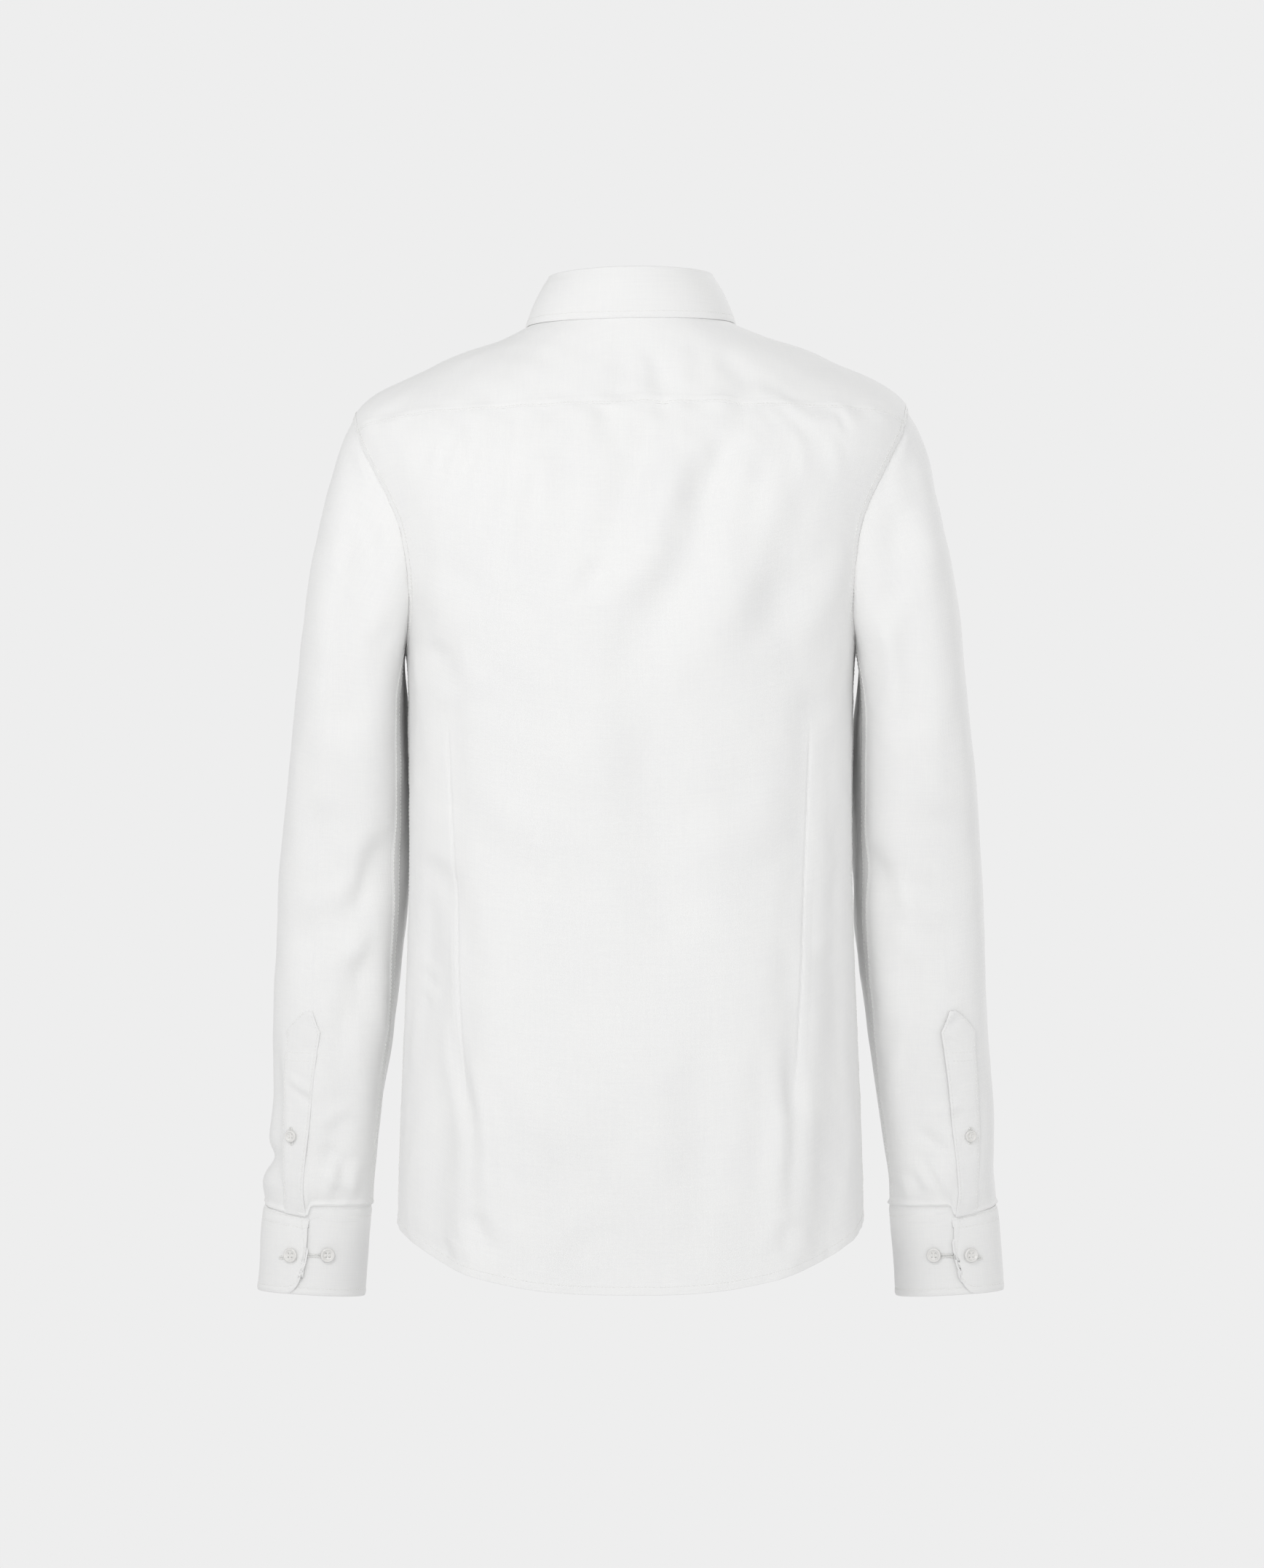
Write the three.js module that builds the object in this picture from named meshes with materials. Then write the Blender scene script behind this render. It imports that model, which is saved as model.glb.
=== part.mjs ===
// A white long sleeve dress shirt, filled out as it is on a wearer, with nobody in it.
// Millimetres, +Z up. The front faces -Y, the back +Y, and the wearer's left is +X.
// The origin is in the middle of the neck's base, on the line of the shoulders that hold the shirt up.

import * as THREE from "three";

// Cloth and seams
const CLOTH = 1.2; // wall of a single panel, with its seam allowances
const CUFF_CLOTH = 2.0; // two layers and an interlining
const SEAM_TRIM = 0.15; // what each panel gives to the gap at a seam
const SEAM_GAP = 0.3;
const LAYER_LIFT = 0.5; // a placket lies this far above the sleeve under it

// Front opening and its buttons
const FRONT_OVERLAP = 17; // past the centre line, on both fronts
const FRONT_LIFT = 1.6; // the left front lies over the right one
const LIFT_FULL_X = 22;
const LIFT_GONE_X = 70;
const FRONT_BUTTON_TOP_Z = -122;
const FRONT_BUTTON_PITCH = 84;
const FRONT_BUTTON_COUNT = 7;

// Lower left shoulder, as the shirt hangs in the photograph
const SHOULDER_TILT = 0.0164; // drop for each millimetre to the left
const TILT_NONE_Z = -250;
const TILT_FULL_Z = -70;

// The body from hem to neck. One row is one ring, and a level is a place between two rows.
// side is the ring at its side seam, back and front are its middles, and square is its exponent:
// 2 is an ellipse. drop says how late the ring leaves the height of its side.
const BODY = [
  { name: "hem", sideX: 178.5, sideZ: -688, backY: 122, backZ: -737, frontY: -122, frontZ: -715, square: 2.5, drop: 1.4 },
  { name: "hip", sideX: 177.5, sideZ: -640, backY: 121, backZ: -660, frontY: -122, frontZ: -650, square: 2.5, drop: 1.4 },
  { name: "seat", sideX: 174.5, sideZ: -560, backY: 118, backZ: -570, frontY: -119, frontZ: -565, square: 2.5, drop: 1.4 },
  { name: "low waist", sideX: 171.2, sideZ: -480, backY: 110, backZ: -485, frontY: -114, frontZ: -483, square: 2.5, drop: 1.4 },
  { name: "waist", sideX: 169.5, sideZ: -400, backY: 106, backZ: -400, frontY: -112, frontZ: -400, square: 2.5, drop: 1.4 },
  { name: "ribs", sideX: 170.5, sideZ: -320, backY: 113, backZ: -315, frontY: -118, frontZ: -318, square: 2.5, drop: 1.4 },
  { name: "underarm", sideX: 173, sideZ: -248, backY: 120, backZ: -235, frontY: -124, frontZ: -240, square: 2.5, drop: 1.4 },
  { name: "blade", sideX: 193, sideZ: -160, backY: 121, backZ: -160, frontY: -118, frontZ: -165, square: 2.5, drop: 1.4 },
  { name: "shoulder", sideX: 213, sideZ: -69, backY: 106, backZ: -100, frontY: -104, frontZ: -120, square: 2.5, drop: 1.4 },
  { name: "ridge", sideX: 150, sideZ: -29, backY: 86, backZ: -52, frontY: -92, frontZ: -100, square: 2.5, drop: 1.4 },
  { name: "base", sideX: 100, sideZ: -10, backY: 70, backZ: -15, frontY: -78, frontZ: -78, square: 2.4, drop: 1.6 },
  { name: "neck", sideX: 66, sideZ: 6, backY: 60, backZ: 7, frontY: -68, frontZ: -62, square: 2, drop: 2.3 },
];
const UNDERARM_LEVEL = 6;
const ARMHOLE_LEVEL = 7; // middle of the armhole
const NECK_LEVEL = 11;
const ARMHOLE_REACH_BACK = 28; // degrees round the body from the side seam
const ARMHOLE_REACH_FRONT = 30;
const ARMHOLE_STEP = 15; // degrees round the armhole, the same on both sides of its seam

// Yoke: its back seam is lowest in the middle level, and its ends lie on the armhole
const YOKE_END = 150; // degrees round the armhole from the underarm
const YOKE_MIDDLE_LEVEL = 8.71;
const YOKE_CURVE = 1.7;
const YOKE_NECK_REACH = 108; // degrees round the neck from the middle of the back
const YOKE_BACK_COLUMNS = 20;
const YOKE_COLUMNS = YOKE_BACK_COLUMNS + (2 * (360 - 2 * YOKE_END)) / ARMHOLE_STEP;
const YOKE_ROWS = 5;
const SIDE_ROWS = 11;
const FRONT_COLUMNS = 8;
const OVERLAP_COLUMNS = 4;

// The sleeve of the wearer's left arm from armhole to cuff seam. The ring runs from an inner to an outer
// point, depth is its half depth front to back, and turn swings its front edge towards the body.
const SLEEVE = [
  { name: "armhole", outerX: 213, outerZ: -66, innerX: 173, innerZ: -248, centreY: 0, depth: 70, turn: 0 },
  { name: "cap", outerX: 230, outerZ: -115, innerX: 174.5, innerZ: -262, centreY: -2, depth: 74, turn: 0 },
  { name: "bicep", outerX: 244.5, outerZ: -195, innerX: 174.3, innerZ: -290, centreY: -8, depth: 74, turn: 5 },
  { name: "upper", outerX: 254.5, outerZ: -285, innerX: 173.2, innerZ: -330, centreY: -18, depth: 70, turn: 8 },
  { name: "above elbow", outerX: 263.5, outerZ: -365, innerX: 172.8, innerZ: -385, centreY: -30, depth: 64, turn: 10 },
  { name: "elbow", outerX: 271, outerZ: -440, innerX: 175, innerZ: -448, centreY: -38, depth: 59, turn: 9 },
  { name: "forearm", outerX: 275, outerZ: -530, innerX: 183.4, innerZ: -534, centreY: -44, depth: 53, turn: 5 },
  { name: "low forearm", outerX: 281, outerZ: -605, innerX: 193.5, innerZ: -605, centreY: -50, depth: 47, turn: 2 },
  { name: "above cuff", outerX: 283, outerZ: -655, innerX: 200, innerZ: -655, centreY: -54, depth: 43, turn: 0 },
  { name: "cuff seam", outerX: 283.5, outerZ: -676, innerX: 201.5, innerZ: -676, centreY: -55, depth: 36, turn: 0 },
];
const SLEEVE_SQUARE = 2.2;
const SLEEVE_END = 9; // the last row of the table
const CAP_BLEND = 1.6; // rows over which the armhole's own shape fades into the table's
const SLEEVE_ROWS = [0, 0.35, 0.8, 1.3, 1.9, 2.5, 3.1, 3.7, 4.3, 4.9, 5.5, 6.1, 6.7, 7.3, 7.9, 8.5, 9];
const UNDERARM_FLAP_END = 55; // below this angle the sleeve lies outside the body's wall
const UNDERARM_FLAP_FADE = 110;

// Cuff: a band with rounded ends that laps over itself at the back of the wrist
const CUFF = {
  topOuterX: 284.5, topInnerX: 201, topZ: -676,
  bottomOuterX: 288.5, bottomInnerX: 206, bottomOuterZ: -745, bottomInnerZ: -750,
  centreY: -55, depth: 35,
};
const CUFF_EDGE = 99; // degrees round the wrist to the free edge of the upper layer
const CUFF_TURN = 405;
const CUFF_COLUMN = 15;
const CUFF_ROWS = 3;
const CUFF_LAP_LIFT = 2.4;
const CUFF_LAP_FLAT = 150;
const CUFF_LAP_GONE = 225;
const CUFF_CORNER = 18;
const CUFF_GIRTH = 240;
const CUFF_SLANT = 7; // the upper layer's top edge drops towards its free edge
const CUFF_SLANT_BEFORE = 40;
const CUFF_SLANT_AFTER = 55;
const CUFF_BUTTON_Z = -717;
const CUFF_BUTTON_OUTER = 114; // degrees round the wrist
const CUFF_BUTTON_INNER = 75;

// Gauntlet placket on the back of the sleeve
const PLACKET_FROM = 104;
const PLACKET_TO = 134;
const PLACKET_ROWS = [8.97, 8.5, 7.9, 7.3, 6.7, 6.15, 5.95];
const PLACKET_TIP_SHARE = 0.08; // width at the point, as a share of the whole
const PLACKET_COLUMNS = 4;
const PLACKET_BUTTON_Z = -624;

// Collar
const FOLD_HALF_WIDTH = 61;
const FOLD_BACK_Y = 58;
const FOLD_FRONT_Y = -64;
const STAND_HEIGHT_BACK = 34;
const STAND_HEIGHT_FRONT = 30;
const STAND_BELOW_FOLD = 6.5;
const STAND_CORNER = 12;
const LEAF_CLOTH = 1.2;
const LEAF_FOLD_RADIUS = 1.9;
const LEAF_INSIDE_LEG = 5.8;
const LEAF_FOLD_END = 175.5;
const LEAF_CLEARANCE = 2.2;
const LEAF_BELLY = 2.2; // outward roll of the fall between fold and edge
const LEAF_COLUMNS = 40;
const LEAF_ROWS = 4;
const LEAF_FOLD_STEPS = 3;
// Lower edge of the fall: how far round the body, and at which level of the body it lies
const LEAF_EDGE = [
  { round: 0, level: 10.71 },
  { round: 45, level: 10.68 },
  { round: 90, level: 10.62 },
  { round: 125, level: 10.35 },
  { round: 150, level: 9.8 },
  { round: 161, level: 9.4 },
];
const COLLAR_BUTTON_UP = 0.45; // share of the stand's height

// Buttons
const BUTTON_RADIUS = 5.6;
const PLACKET_BUTTON_RADIUS = 4.6;
const BUTTON_THICK = 2.5;
const BUTTON_SIDES = 10;

// The largest folds, as seen from behind or from the front. high is positive for a ridge.
const BODY_FOLDS = [
  { name: "left dart", face: "back", fromX: 138, fromZ: -300, toX: 126, toZ: -590, wide: 30, high: -4 },
  { name: "right dart", face: "back", fromX: -136, fromZ: -300, toX: -125, toZ: -590, wide: 30, high: -4 },
  { name: "left dart drape", face: "back", fromX: 122, fromZ: -610, toX: 118, toZ: -735, wide: 34, high: 5 },
  { name: "right dart drape", face: "back", fromX: -121, fromZ: -610, toX: -119, toZ: -735, wide: 36, high: 5 },
  { name: "left flank trough", face: "back", fromX: 150, fromZ: -430, toX: 148, toZ: -700, wide: 34, high: -4 },
  { name: "right flank trough", face: "back", fromX: -158, fromZ: -505, toX: -152, toZ: -690, wide: 32, high: -4 },
  { name: "hem trough", face: "back", fromX: 25, fromZ: -640, toX: 5, toZ: -740, wide: 70, high: -6 },
  { name: "blade ridge", face: "back", fromX: -40, fromZ: -95, toX: 40, toZ: -215, wide: 46, high: 3 },
  { name: "blade trough", face: "back", fromX: -75, fromZ: -110, toX: 5, toZ: -260, wide: 44, high: -3 },
  { name: "left chest drape", face: "front", fromX: 120, fromZ: -230, toX: 85, toZ: -420, wide: 50, high: -4 },
  { name: "right chest drape", face: "front", fromX: -122, fromZ: -220, toX: -92, toZ: -400, wide: 46, high: -3.5 },
  { name: "left skirt fold", face: "front", fromX: 98, fromZ: -500, toX: 108, toZ: -715, wide: 48, high: 5 },
  { name: "right skirt fold", face: "front", fromX: -104, fromZ: -520, toX: -112, toZ: -715, wide: 44, high: 5 },
  { name: "left skirt trough", face: "front", fromX: 60, fromZ: -560, toX: 66, toZ: -715, wide: 40, high: -4 },
];
// The same for the left sleeve. The right sleeve has them mirrored.
const SLEEVE_FOLDS = [
  { name: "cap drape", face: "back", fromX: 196, fromZ: -150, toX: 214, toZ: -300, wide: 30, high: -4 },
  { name: "upper arm roll", face: "back", fromX: 228, fromZ: -180, toX: 236, toZ: -360, wide: 34, high: 4 },
  { name: "elbow trough", face: "back", fromX: 196, fromZ: -420, toX: 246, toZ: -470, wide: 34, high: -4 },
  { name: "forearm trough", face: "back", fromX: 214, fromZ: -500, toX: 226, toZ: -640, wide: 30, high: -4 },
  { name: "inner elbow fold", face: "front", fromX: 190, fromZ: -430, toX: 255, toZ: -400, wide: 34, high: -6 },
  { name: "lower elbow fold", face: "front", fromX: 196, fromZ: -480, toX: 262, toZ: -455, wide: 30, high: -5 },
  { name: "front roll", face: "front", fromX: 215, fromZ: -210, toX: 228, toZ: -360, wide: 36, high: 4 },
];

const WHITE = 0xf4f4f3;
const clothMaterial = new THREE.MeshStandardMaterial({ color: WHITE, roughness: 0.85, metalness: 0 });
const trimMaterial = new THREE.MeshStandardMaterial({ color: 0xf7f7f6, roughness: 0.8, metalness: 0 });
const buttonMaterial = new THREE.MeshStandardMaterial({ color: 0xf1f0ec, roughness: 0.3, metalness: 0 });

// Small helpers
const radians = (degrees) => (degrees * Math.PI) / 180;
const degrees = (angle) => (angle * 180) / Math.PI;
const mix = (a, b, t) => a + (b - a) * t;
const clamp = (value, low, high) => Math.min(high, Math.max(low, value));
const signedPower = (value, exponent) => Math.sign(value) * Math.abs(value) ** exponent;
const along = (point, direction, distance) => point.clone().addScaledVector(direction, distance);

function ease(value, from, to) {
  const t = clamp((value - from) / (to - from), 0, 1);
  return t * t * (3 - 2 * t);
}

// Steps from one value to another, both included.
function steps(from, to, count) {
  return Array.from({ length: count + 1 }, (_, i) => mix(from, to, i / count));
}

// A table's column at a place between two rows, on a smooth curve through all of them.
function column(rows, name, at) {
  const last = rows.length - 1;
  const i = clamp(Math.floor(at), 0, last - 1);
  const t = at - i;
  const b = rows[i][name];
  const c = rows[i + 1][name];
  const a = i > 0 ? rows[i - 1][name] : 2 * b - c;
  const d = i < last - 1 ? rows[i + 2][name] : 2 * c - b;
  return 0.5 * (2 * b + (c - a) * t + (2 * a - 5 * b + 4 * c - d) * t * t + (3 * b - a - 3 * c + d) * t ** 3);
}

// How far the folds lift the cloth at a place seen from behind or from the front.
function foldHeight(folds, face, x, z) {
  let height = 0;
  for (const fold of folds) {
    if (fold.face !== face) continue;
    const runX = fold.toX - fold.fromX;
    const runZ = fold.toZ - fold.fromZ;
    const t = clamp(((x - fold.fromX) * runX + (z - fold.fromZ) * runZ) / (runX ** 2 + runZ ** 2), 0, 1);
    const away = Math.hypot(x - fold.fromX - t * runX, z - fold.fromZ - t * runZ);
    height += fold.high * Math.exp(-((away / (fold.wide / 2)) ** 2));
  }
  return height;
}

// The whole shirt settles a little towards its lower left shoulder.
function settle(point) {
  point.z -= SHOULDER_TILT * point.x * ease(point.z, TILT_NONE_Z, TILT_FULL_Z);
  return point;
}

// Outward normal of a surface given by two parameters, by differences.
function normalOf(surface, u, v, stepU, stepV) {
  const du = surface(u + stepU, v).sub(surface(u - stepU, v));
  const dv = surface(u, v + stepV).sub(surface(u, v - stepV));
  return dv.cross(du).normalize();
}

// Body surface: round is degrees from the middle of the back towards the wearer's left.
function bodyBase(round, level) {
  const side = Math.sin(radians(round));
  const middle = Math.cos(radians(round));
  const isBack = middle >= 0;
  const exponent = 2 / column(BODY, "square", level);
  const share = Math.abs(middle) ** column(BODY, "drop", level);
  const depth = column(BODY, isBack ? "backY" : "frontY", level);
  const middleZ = column(BODY, isBack ? "backZ" : "frontZ", level);
  return new THREE.Vector3(
    column(BODY, "sideX", level) * signedPower(side, exponent),
    depth * Math.abs(middle) ** exponent,
    mix(column(BODY, "sideZ", level), middleZ, share),
  );
}

const bodyNormal = (round, level) => normalOf(bodyBase, round, level, 0.05, 0.002);

function bodyPoint(round, level, lift = 0) {
  const point = bodyBase(round, level);
  const middle = Math.cos(radians(round));
  const nearMiddle = Math.min(1, Math.abs(middle) * 2.5);
  const height = foldHeight(BODY_FOLDS, middle >= 0 ? "back" : "front", point.x, point.z);
  return point.addScaledVector(bodyNormal(round, level), lift + height * nearMiddle);
}

// The armhole, by degrees round it: 0 at the underarm, 90 at the back, 180 on the shoulder, 270 in front.
function armhole(turn) {
  const reach = Math.sin(radians(turn)) > 0 ? ARMHOLE_REACH_BACK : ARMHOLE_REACH_FRONT;
  return {
    round: 90 - reach * Math.sin(radians(turn)),
    level: ARMHOLE_LEVEL - Math.cos(radians(turn)),
  };
}

const YOKE_CORNER = armhole(YOKE_END);
const YOKE_FRONT_CORNER = armhole(360 - YOKE_END);

function yokeSeamLevel(round) {
  const share = (Math.abs(round) / YOKE_CORNER.round) ** YOKE_CURVE;
  return mix(YOKE_MIDDLE_LEVEL, YOKE_CORNER.level, share);
}

// Angle of the front edge past the centre line.
function frontEdgeRound(level, overlap) {
  const share = overlap / column(BODY, "sideX", level);
  return 180 + degrees(Math.asin(share ** (column(BODY, "square", level) / 2)));
}

const overlapLift = (x) => FRONT_LIFT * (1 - ease(x, LIFT_FULL_X, LIFT_GONE_X));

// Moves the edge points of a panel inwards along the panel, so that two panels part at their seam.
function trimEdges(outer, inner, trim) {
  const lastRow = outer.length - 1;
  const lastColumn = outer[0].length - 1;
  const shifts = [];
  const pull = (row, col, before, after, insideRow, insideCol) => {
    const point = outer[row][col];
    const edge = after.clone().sub(before).normalize();
    const inside = outer[insideRow][insideCol].clone().sub(point);
    inside.addScaledVector(edge, -inside.dot(edge)).normalize();
    shifts.push({ row, col, shift: inside.multiplyScalar(trim) });
  };
  for (let col = 0; col <= lastColumn; col++) {
    const before = Math.max(col - 1, 0);
    const after = Math.min(col + 1, lastColumn);
    pull(0, col, outer[0][before], outer[0][after], 1, col);
    pull(lastRow, col, outer[lastRow][before], outer[lastRow][after], lastRow - 1, col);
  }
  for (let row = 0; row <= lastRow; row++) {
    const before = outer[Math.max(row - 1, 0)];
    const after = outer[Math.min(row + 1, lastRow)];
    pull(row, 0, before[0], after[0], row, 1);
    pull(row, lastColumn, before[lastColumn], after[lastColumn], row, lastColumn - 1);
  }
  for (const { row, col, shift } of shifts) {
    outer[row][col].add(shift);
    inner[row][col].add(shift);
  }
}

// A wall between an outer and an inner grid of points, closed along every edge.
// Rows run up and columns run anticlockwise seen from below, so the outer faces point out.
function wallGeometry(outer, inner, closed) {
  const rows = outer.length;
  const cols = outer[0].length;
  const positions = [...outer.flat(), ...inner.flat()].flatMap((p) => [p.x, p.y, p.z]);
  const out = (r, c) => r * cols + (c % cols);
  const within = (r, c) => rows * cols + out(r, c);
  const index = [];
  const quad = (a, b, c, d) => index.push(a, b, c, a, c, d);
  const lastCol = closed ? cols : cols - 1;
  for (let c = 0; c < lastCol; c++) {
    for (let r = 0; r < rows - 1; r++) {
      quad(out(r, c), out(r + 1, c), out(r + 1, c + 1), out(r, c + 1));
      quad(within(r, c), within(r, c + 1), within(r + 1, c + 1), within(r + 1, c));
    }
    quad(out(0, c), out(0, c + 1), within(0, c + 1), within(0, c));
    quad(out(rows - 1, c), within(rows - 1, c), within(rows - 1, c + 1), out(rows - 1, c + 1));
  }
  for (let r = 0; r < rows - 1 && !closed; r++) {
    quad(out(r, 0), within(r, 0), within(r + 1, 0), out(r + 1, 0));
    quad(out(r, cols - 1), out(r + 1, cols - 1), within(r + 1, cols - 1), within(r, cols - 1));
  }
  const geometry = new THREE.BufferGeometry();
  geometry.setAttribute("position", new THREE.Float32BufferAttribute(positions, 3));
  geometry.setIndex(index);
  return geometry;
}

const shirt = new THREE.Group();
shirt.name = "long_sleeve_dress_shirt";

// Adds a wall as a named piece. A mirrored piece swaps left and right and turns its faces back.
function addWall(name, outer, inner, { closed = false, mirrored = false, material = clothMaterial } = {}) {
  const place = (point) => {
    const placed = point.clone();
    if (mirrored) placed.x = -placed.x;
    return settle(placed);
  };
  const geometry = wallGeometry(outer.map((row) => row.map(place)), inner.map((row) => row.map(place)), closed);
  if (mirrored) geometry.index.array.reverse();
  geometry.computeVertexNormals();
  const mesh = new THREE.Mesh(geometry, material);
  mesh.name = name;
  shirt.add(mesh);
}

// A panel of the body over a grid of places, each a round and a level.
function addBodyPanel(name, places, lift = () => 0) {
  const outer = [];
  const inner = [];
  for (const row of places) {
    const points = row.map(({ round, level }) => bodyPoint(round, level, lift(bodyBase(round, level).x)));
    outer.push(points);
    inner.push(points.map((point, i) => along(point, bodyNormal(row[i].round, row[i].level), -CLOTH)));
  }
  trimEdges(outer, inner, SEAM_TRIM);
  addWall(name, outer, inner);
}

// Places on the side seam and up the armhole, from hem to the yoke's corner
const sideLevels = steps(0, UNDERARM_LEVEL, SIDE_ROWS);
const armholeTurns = steps(ARMHOLE_STEP, YOKE_END, YOKE_END / ARMHOLE_STEP - 1);

function makeBack() {
  const edge = [
    ...sideLevels.map((level) => ({ round: 90, level })),
    ...armholeTurns.map(armhole),
  ];
  const curveFrom = UNDERARM_LEVEL - 2;
  const places = edge.map(({ round, level }) =>
    steps(-round, round, YOKE_BACK_COLUMNS).map((at) => {
      const seamRound = (at / round) * YOKE_CORNER.round;
      const raise = yokeSeamLevel(seamRound) - YOKE_CORNER.level;
      const share = Math.max(0, (level - curveFrom) / (YOKE_CORNER.level - curveFrom)) ** 1.5;
      return { round: at, level: level + raise * share };
    }),
  );
  addBodyPanel("back", places);
}

// Columns of a front, from its side seam to its free edge. The two fronts share those of the overlap.
function frontRounds(round, level) {
  const overlap = frontEdgeRound(level, FRONT_OVERLAP) - 180;
  const panel = steps(round, 180 - overlap, FRONT_COLUMNS);
  return [...panel, ...steps(180 - overlap, 180 + overlap, OVERLAP_COLUMNS).slice(1)];
}

function makeFronts() {
  const frontTurns = armholeTurns.map((turn) => 360 - turn);
  const yokeShares = steps(0, 1, YOKE_ROWS).slice(1);
  const edge = [
    ...sideLevels.map((level) => ({ round: 90, level })),
    ...frontTurns.map(armhole),
    ...yokeShares.map((share) => ({
      round: mix(YOKE_FRONT_CORNER.round, YOKE_NECK_REACH, share),
      level: mix(YOKE_FRONT_CORNER.level, NECK_LEVEL, share),
    })),
  ];
  const leftPlaces = edge.map(({ round, level }) => frontRounds(round, level).map((at) => ({ round: at, level })));
  const rightPlaces = leftPlaces.map((row) => row.map(({ round, level }) => ({ round: -round, level })).reverse());
  addBodyPanel("front_left", leftPlaces, overlapLift);
  addBodyPanel("front_right", rightPlaces);
}

// The yoke's outer edge runs along one armhole, the back seam and the other armhole.
function makeYoke() {
  const armSteps = steps(360 - YOKE_END, YOKE_END, (360 - 2 * YOKE_END) / ARMHOLE_STEP).map(armhole);
  const rightSide = armSteps.map(({ round, level }) => ({ round: -round, level }));
  const seam = steps(-YOKE_CORNER.round, YOKE_CORNER.round, YOKE_BACK_COLUMNS).map((round) => ({
    round,
    level: yokeSeamLevel(round),
  }));
  const leftSide = [...armSteps].reverse();
  const outerEdge = [...rightSide, ...seam.slice(1, -1), ...leftSide];
  const neckEdge = steps(-YOKE_NECK_REACH, YOKE_NECK_REACH, outerEdge.length - 1);
  const places = steps(0, 1, YOKE_ROWS).map((share) =>
    outerEdge.map(({ round, level }, i) => ({
      round: mix(round, neckEdge[i], share),
      level: mix(level, NECK_LEVEL, share),
    })),
  );
  addBodyPanel("yoke", places);
}

// Sleeve surface of the left arm, by degrees round the arm (0 towards the body, 90 behind) and table row
function sleeveTable(turn, row) {
  const at = (name) => column(SLEEVE, name, row);
  const exponent = 2 / SLEEVE_SQUARE;
  const outward = -signedPower(Math.cos(radians(turn)), exponent);
  const back = signedPower(Math.sin(radians(turn)), exponent);
  const halfX = (at("outerX") - at("innerX")) / 2;
  const swing = radians(at("turn"));
  const x = halfX * outward;
  const y = at("depth") * back;
  return new THREE.Vector3(
    (at("outerX") + at("innerX")) / 2 + x * Math.cos(swing) + y * Math.sin(swing),
    at("centreY") - x * Math.sin(swing) + y * Math.cos(swing),
    mix(at("innerZ"), at("outerZ"), (1 + outward) / 2) - cuffSlant(turn) * ease(row, SLEEVE_END - 2, SLEEVE_END),
  );
}

// How much lower the top edge of the cuff is near its free edge
function cuffSlant(turn) {
  const beyond = ((turn - CUFF_EDGE + 540) % 360) - 180;
  const reach = beyond < 0 ? CUFF_SLANT_BEFORE : CUFF_SLANT_AFTER;
  return CUFF_SLANT * (1 - ease(Math.abs(beyond), 0, reach));
}

function sleeveBase(turn, row) {
  const point = sleeveTable(turn, row);
  const fade = 1 - ease(row, 0, CAP_BLEND);
  if (fade === 0) return point;
  const { round, level } = armhole(turn);
  const offset = bodyPoint(round, level).sub(sleeveTable(turn, 0));
  return point.addScaledVector(offset, fade);
}

const sleeveNormal = (turn, row) => normalOf(sleeveBase, turn, row, 0.05, 0.002).negate();

function sleevePoint(turn, row, lift = 0) {
  const point = sleeveBase(turn, row);
  const isBack = Math.sin(radians(turn)) >= 0;
  const nearMiddle = Math.min(1, Math.abs(Math.sin(radians(turn))) * 2);
  const away = ease(row, 0, 1) * (1 - ease(row, SLEEVE_END - 1, SLEEVE_END));
  const height = foldHeight(SLEEVE_FOLDS, isBack ? "back" : "front", point.x, point.z) * nearMiddle * away;
  return point.addScaledVector(sleeveNormal(turn, row), lift + height);
}

// The first ring of the sleeve meets the armhole. Above it follows the body's wall, and near the underarm
// it lies outside that wall with its own thickness away from the body.
function sleeveMouth(turn) {
  const { round, level } = armhole(turn);
  const edge = bodyPoint(round, level);
  const bodyOut = bodyNormal(round, level);
  const angle = Math.min(turn, 360 - turn);
  const flap = 1 - ease(angle, UNDERARM_FLAP_END, UNDERARM_FLAP_FADE);
  const ahead = bodyPointOnArmhole(turn + 1).sub(bodyPointOnArmhole(turn - 1)).normalize();
  const intoHole = bodyOut.clone().cross(ahead).normalize();
  const own = new THREE.Vector3(Math.cos(radians(turn)), -Math.sin(radians(turn)), 0);
  const inward = bodyOut.clone().multiplyScalar(-(1 - flap)).addScaledVector(own, flap).normalize();
  const shift = intoHole.multiplyScalar(1 - flap).addScaledVector(bodyOut, flap).normalize();
  const outer = edge.addScaledVector(shift, SEAM_GAP);
  return { outer, inner: along(outer, inward, CLOTH) };
}

function bodyPointOnArmhole(turn) {
  const { round, level } = armhole(turn);
  return bodyPoint(round, level);
}

function makeSleeve(name, mirrored) {
  const turns = steps(0, 360 - ARMHOLE_STEP, 360 / ARMHOLE_STEP - 1);
  const phase = CUFF_EDGE % ARMHOLE_STEP; // brings the columns to the cuff's own ones
  const outer = [];
  const inner = [];
  for (const row of [...SLEEVE_ROWS].reverse()) {
    if (row === 0) {
      const mouth = turns.map(sleeveMouth);
      outer.push(mouth.map((ring) => ring.outer));
      inner.push(mouth.map((ring) => ring.inner));
      continue;
    }
    const at = turns.map((turn) => turn + (phase * row) / SLEEVE_END);
    outer.push(at.map((turn) => sleevePoint(turn, row)));
    inner.push(at.map((turn) => sleevePoint(turn, row, -CLOTH)));
  }
  addWall(name, outer, inner, { closed: true, mirrored });
}

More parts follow.
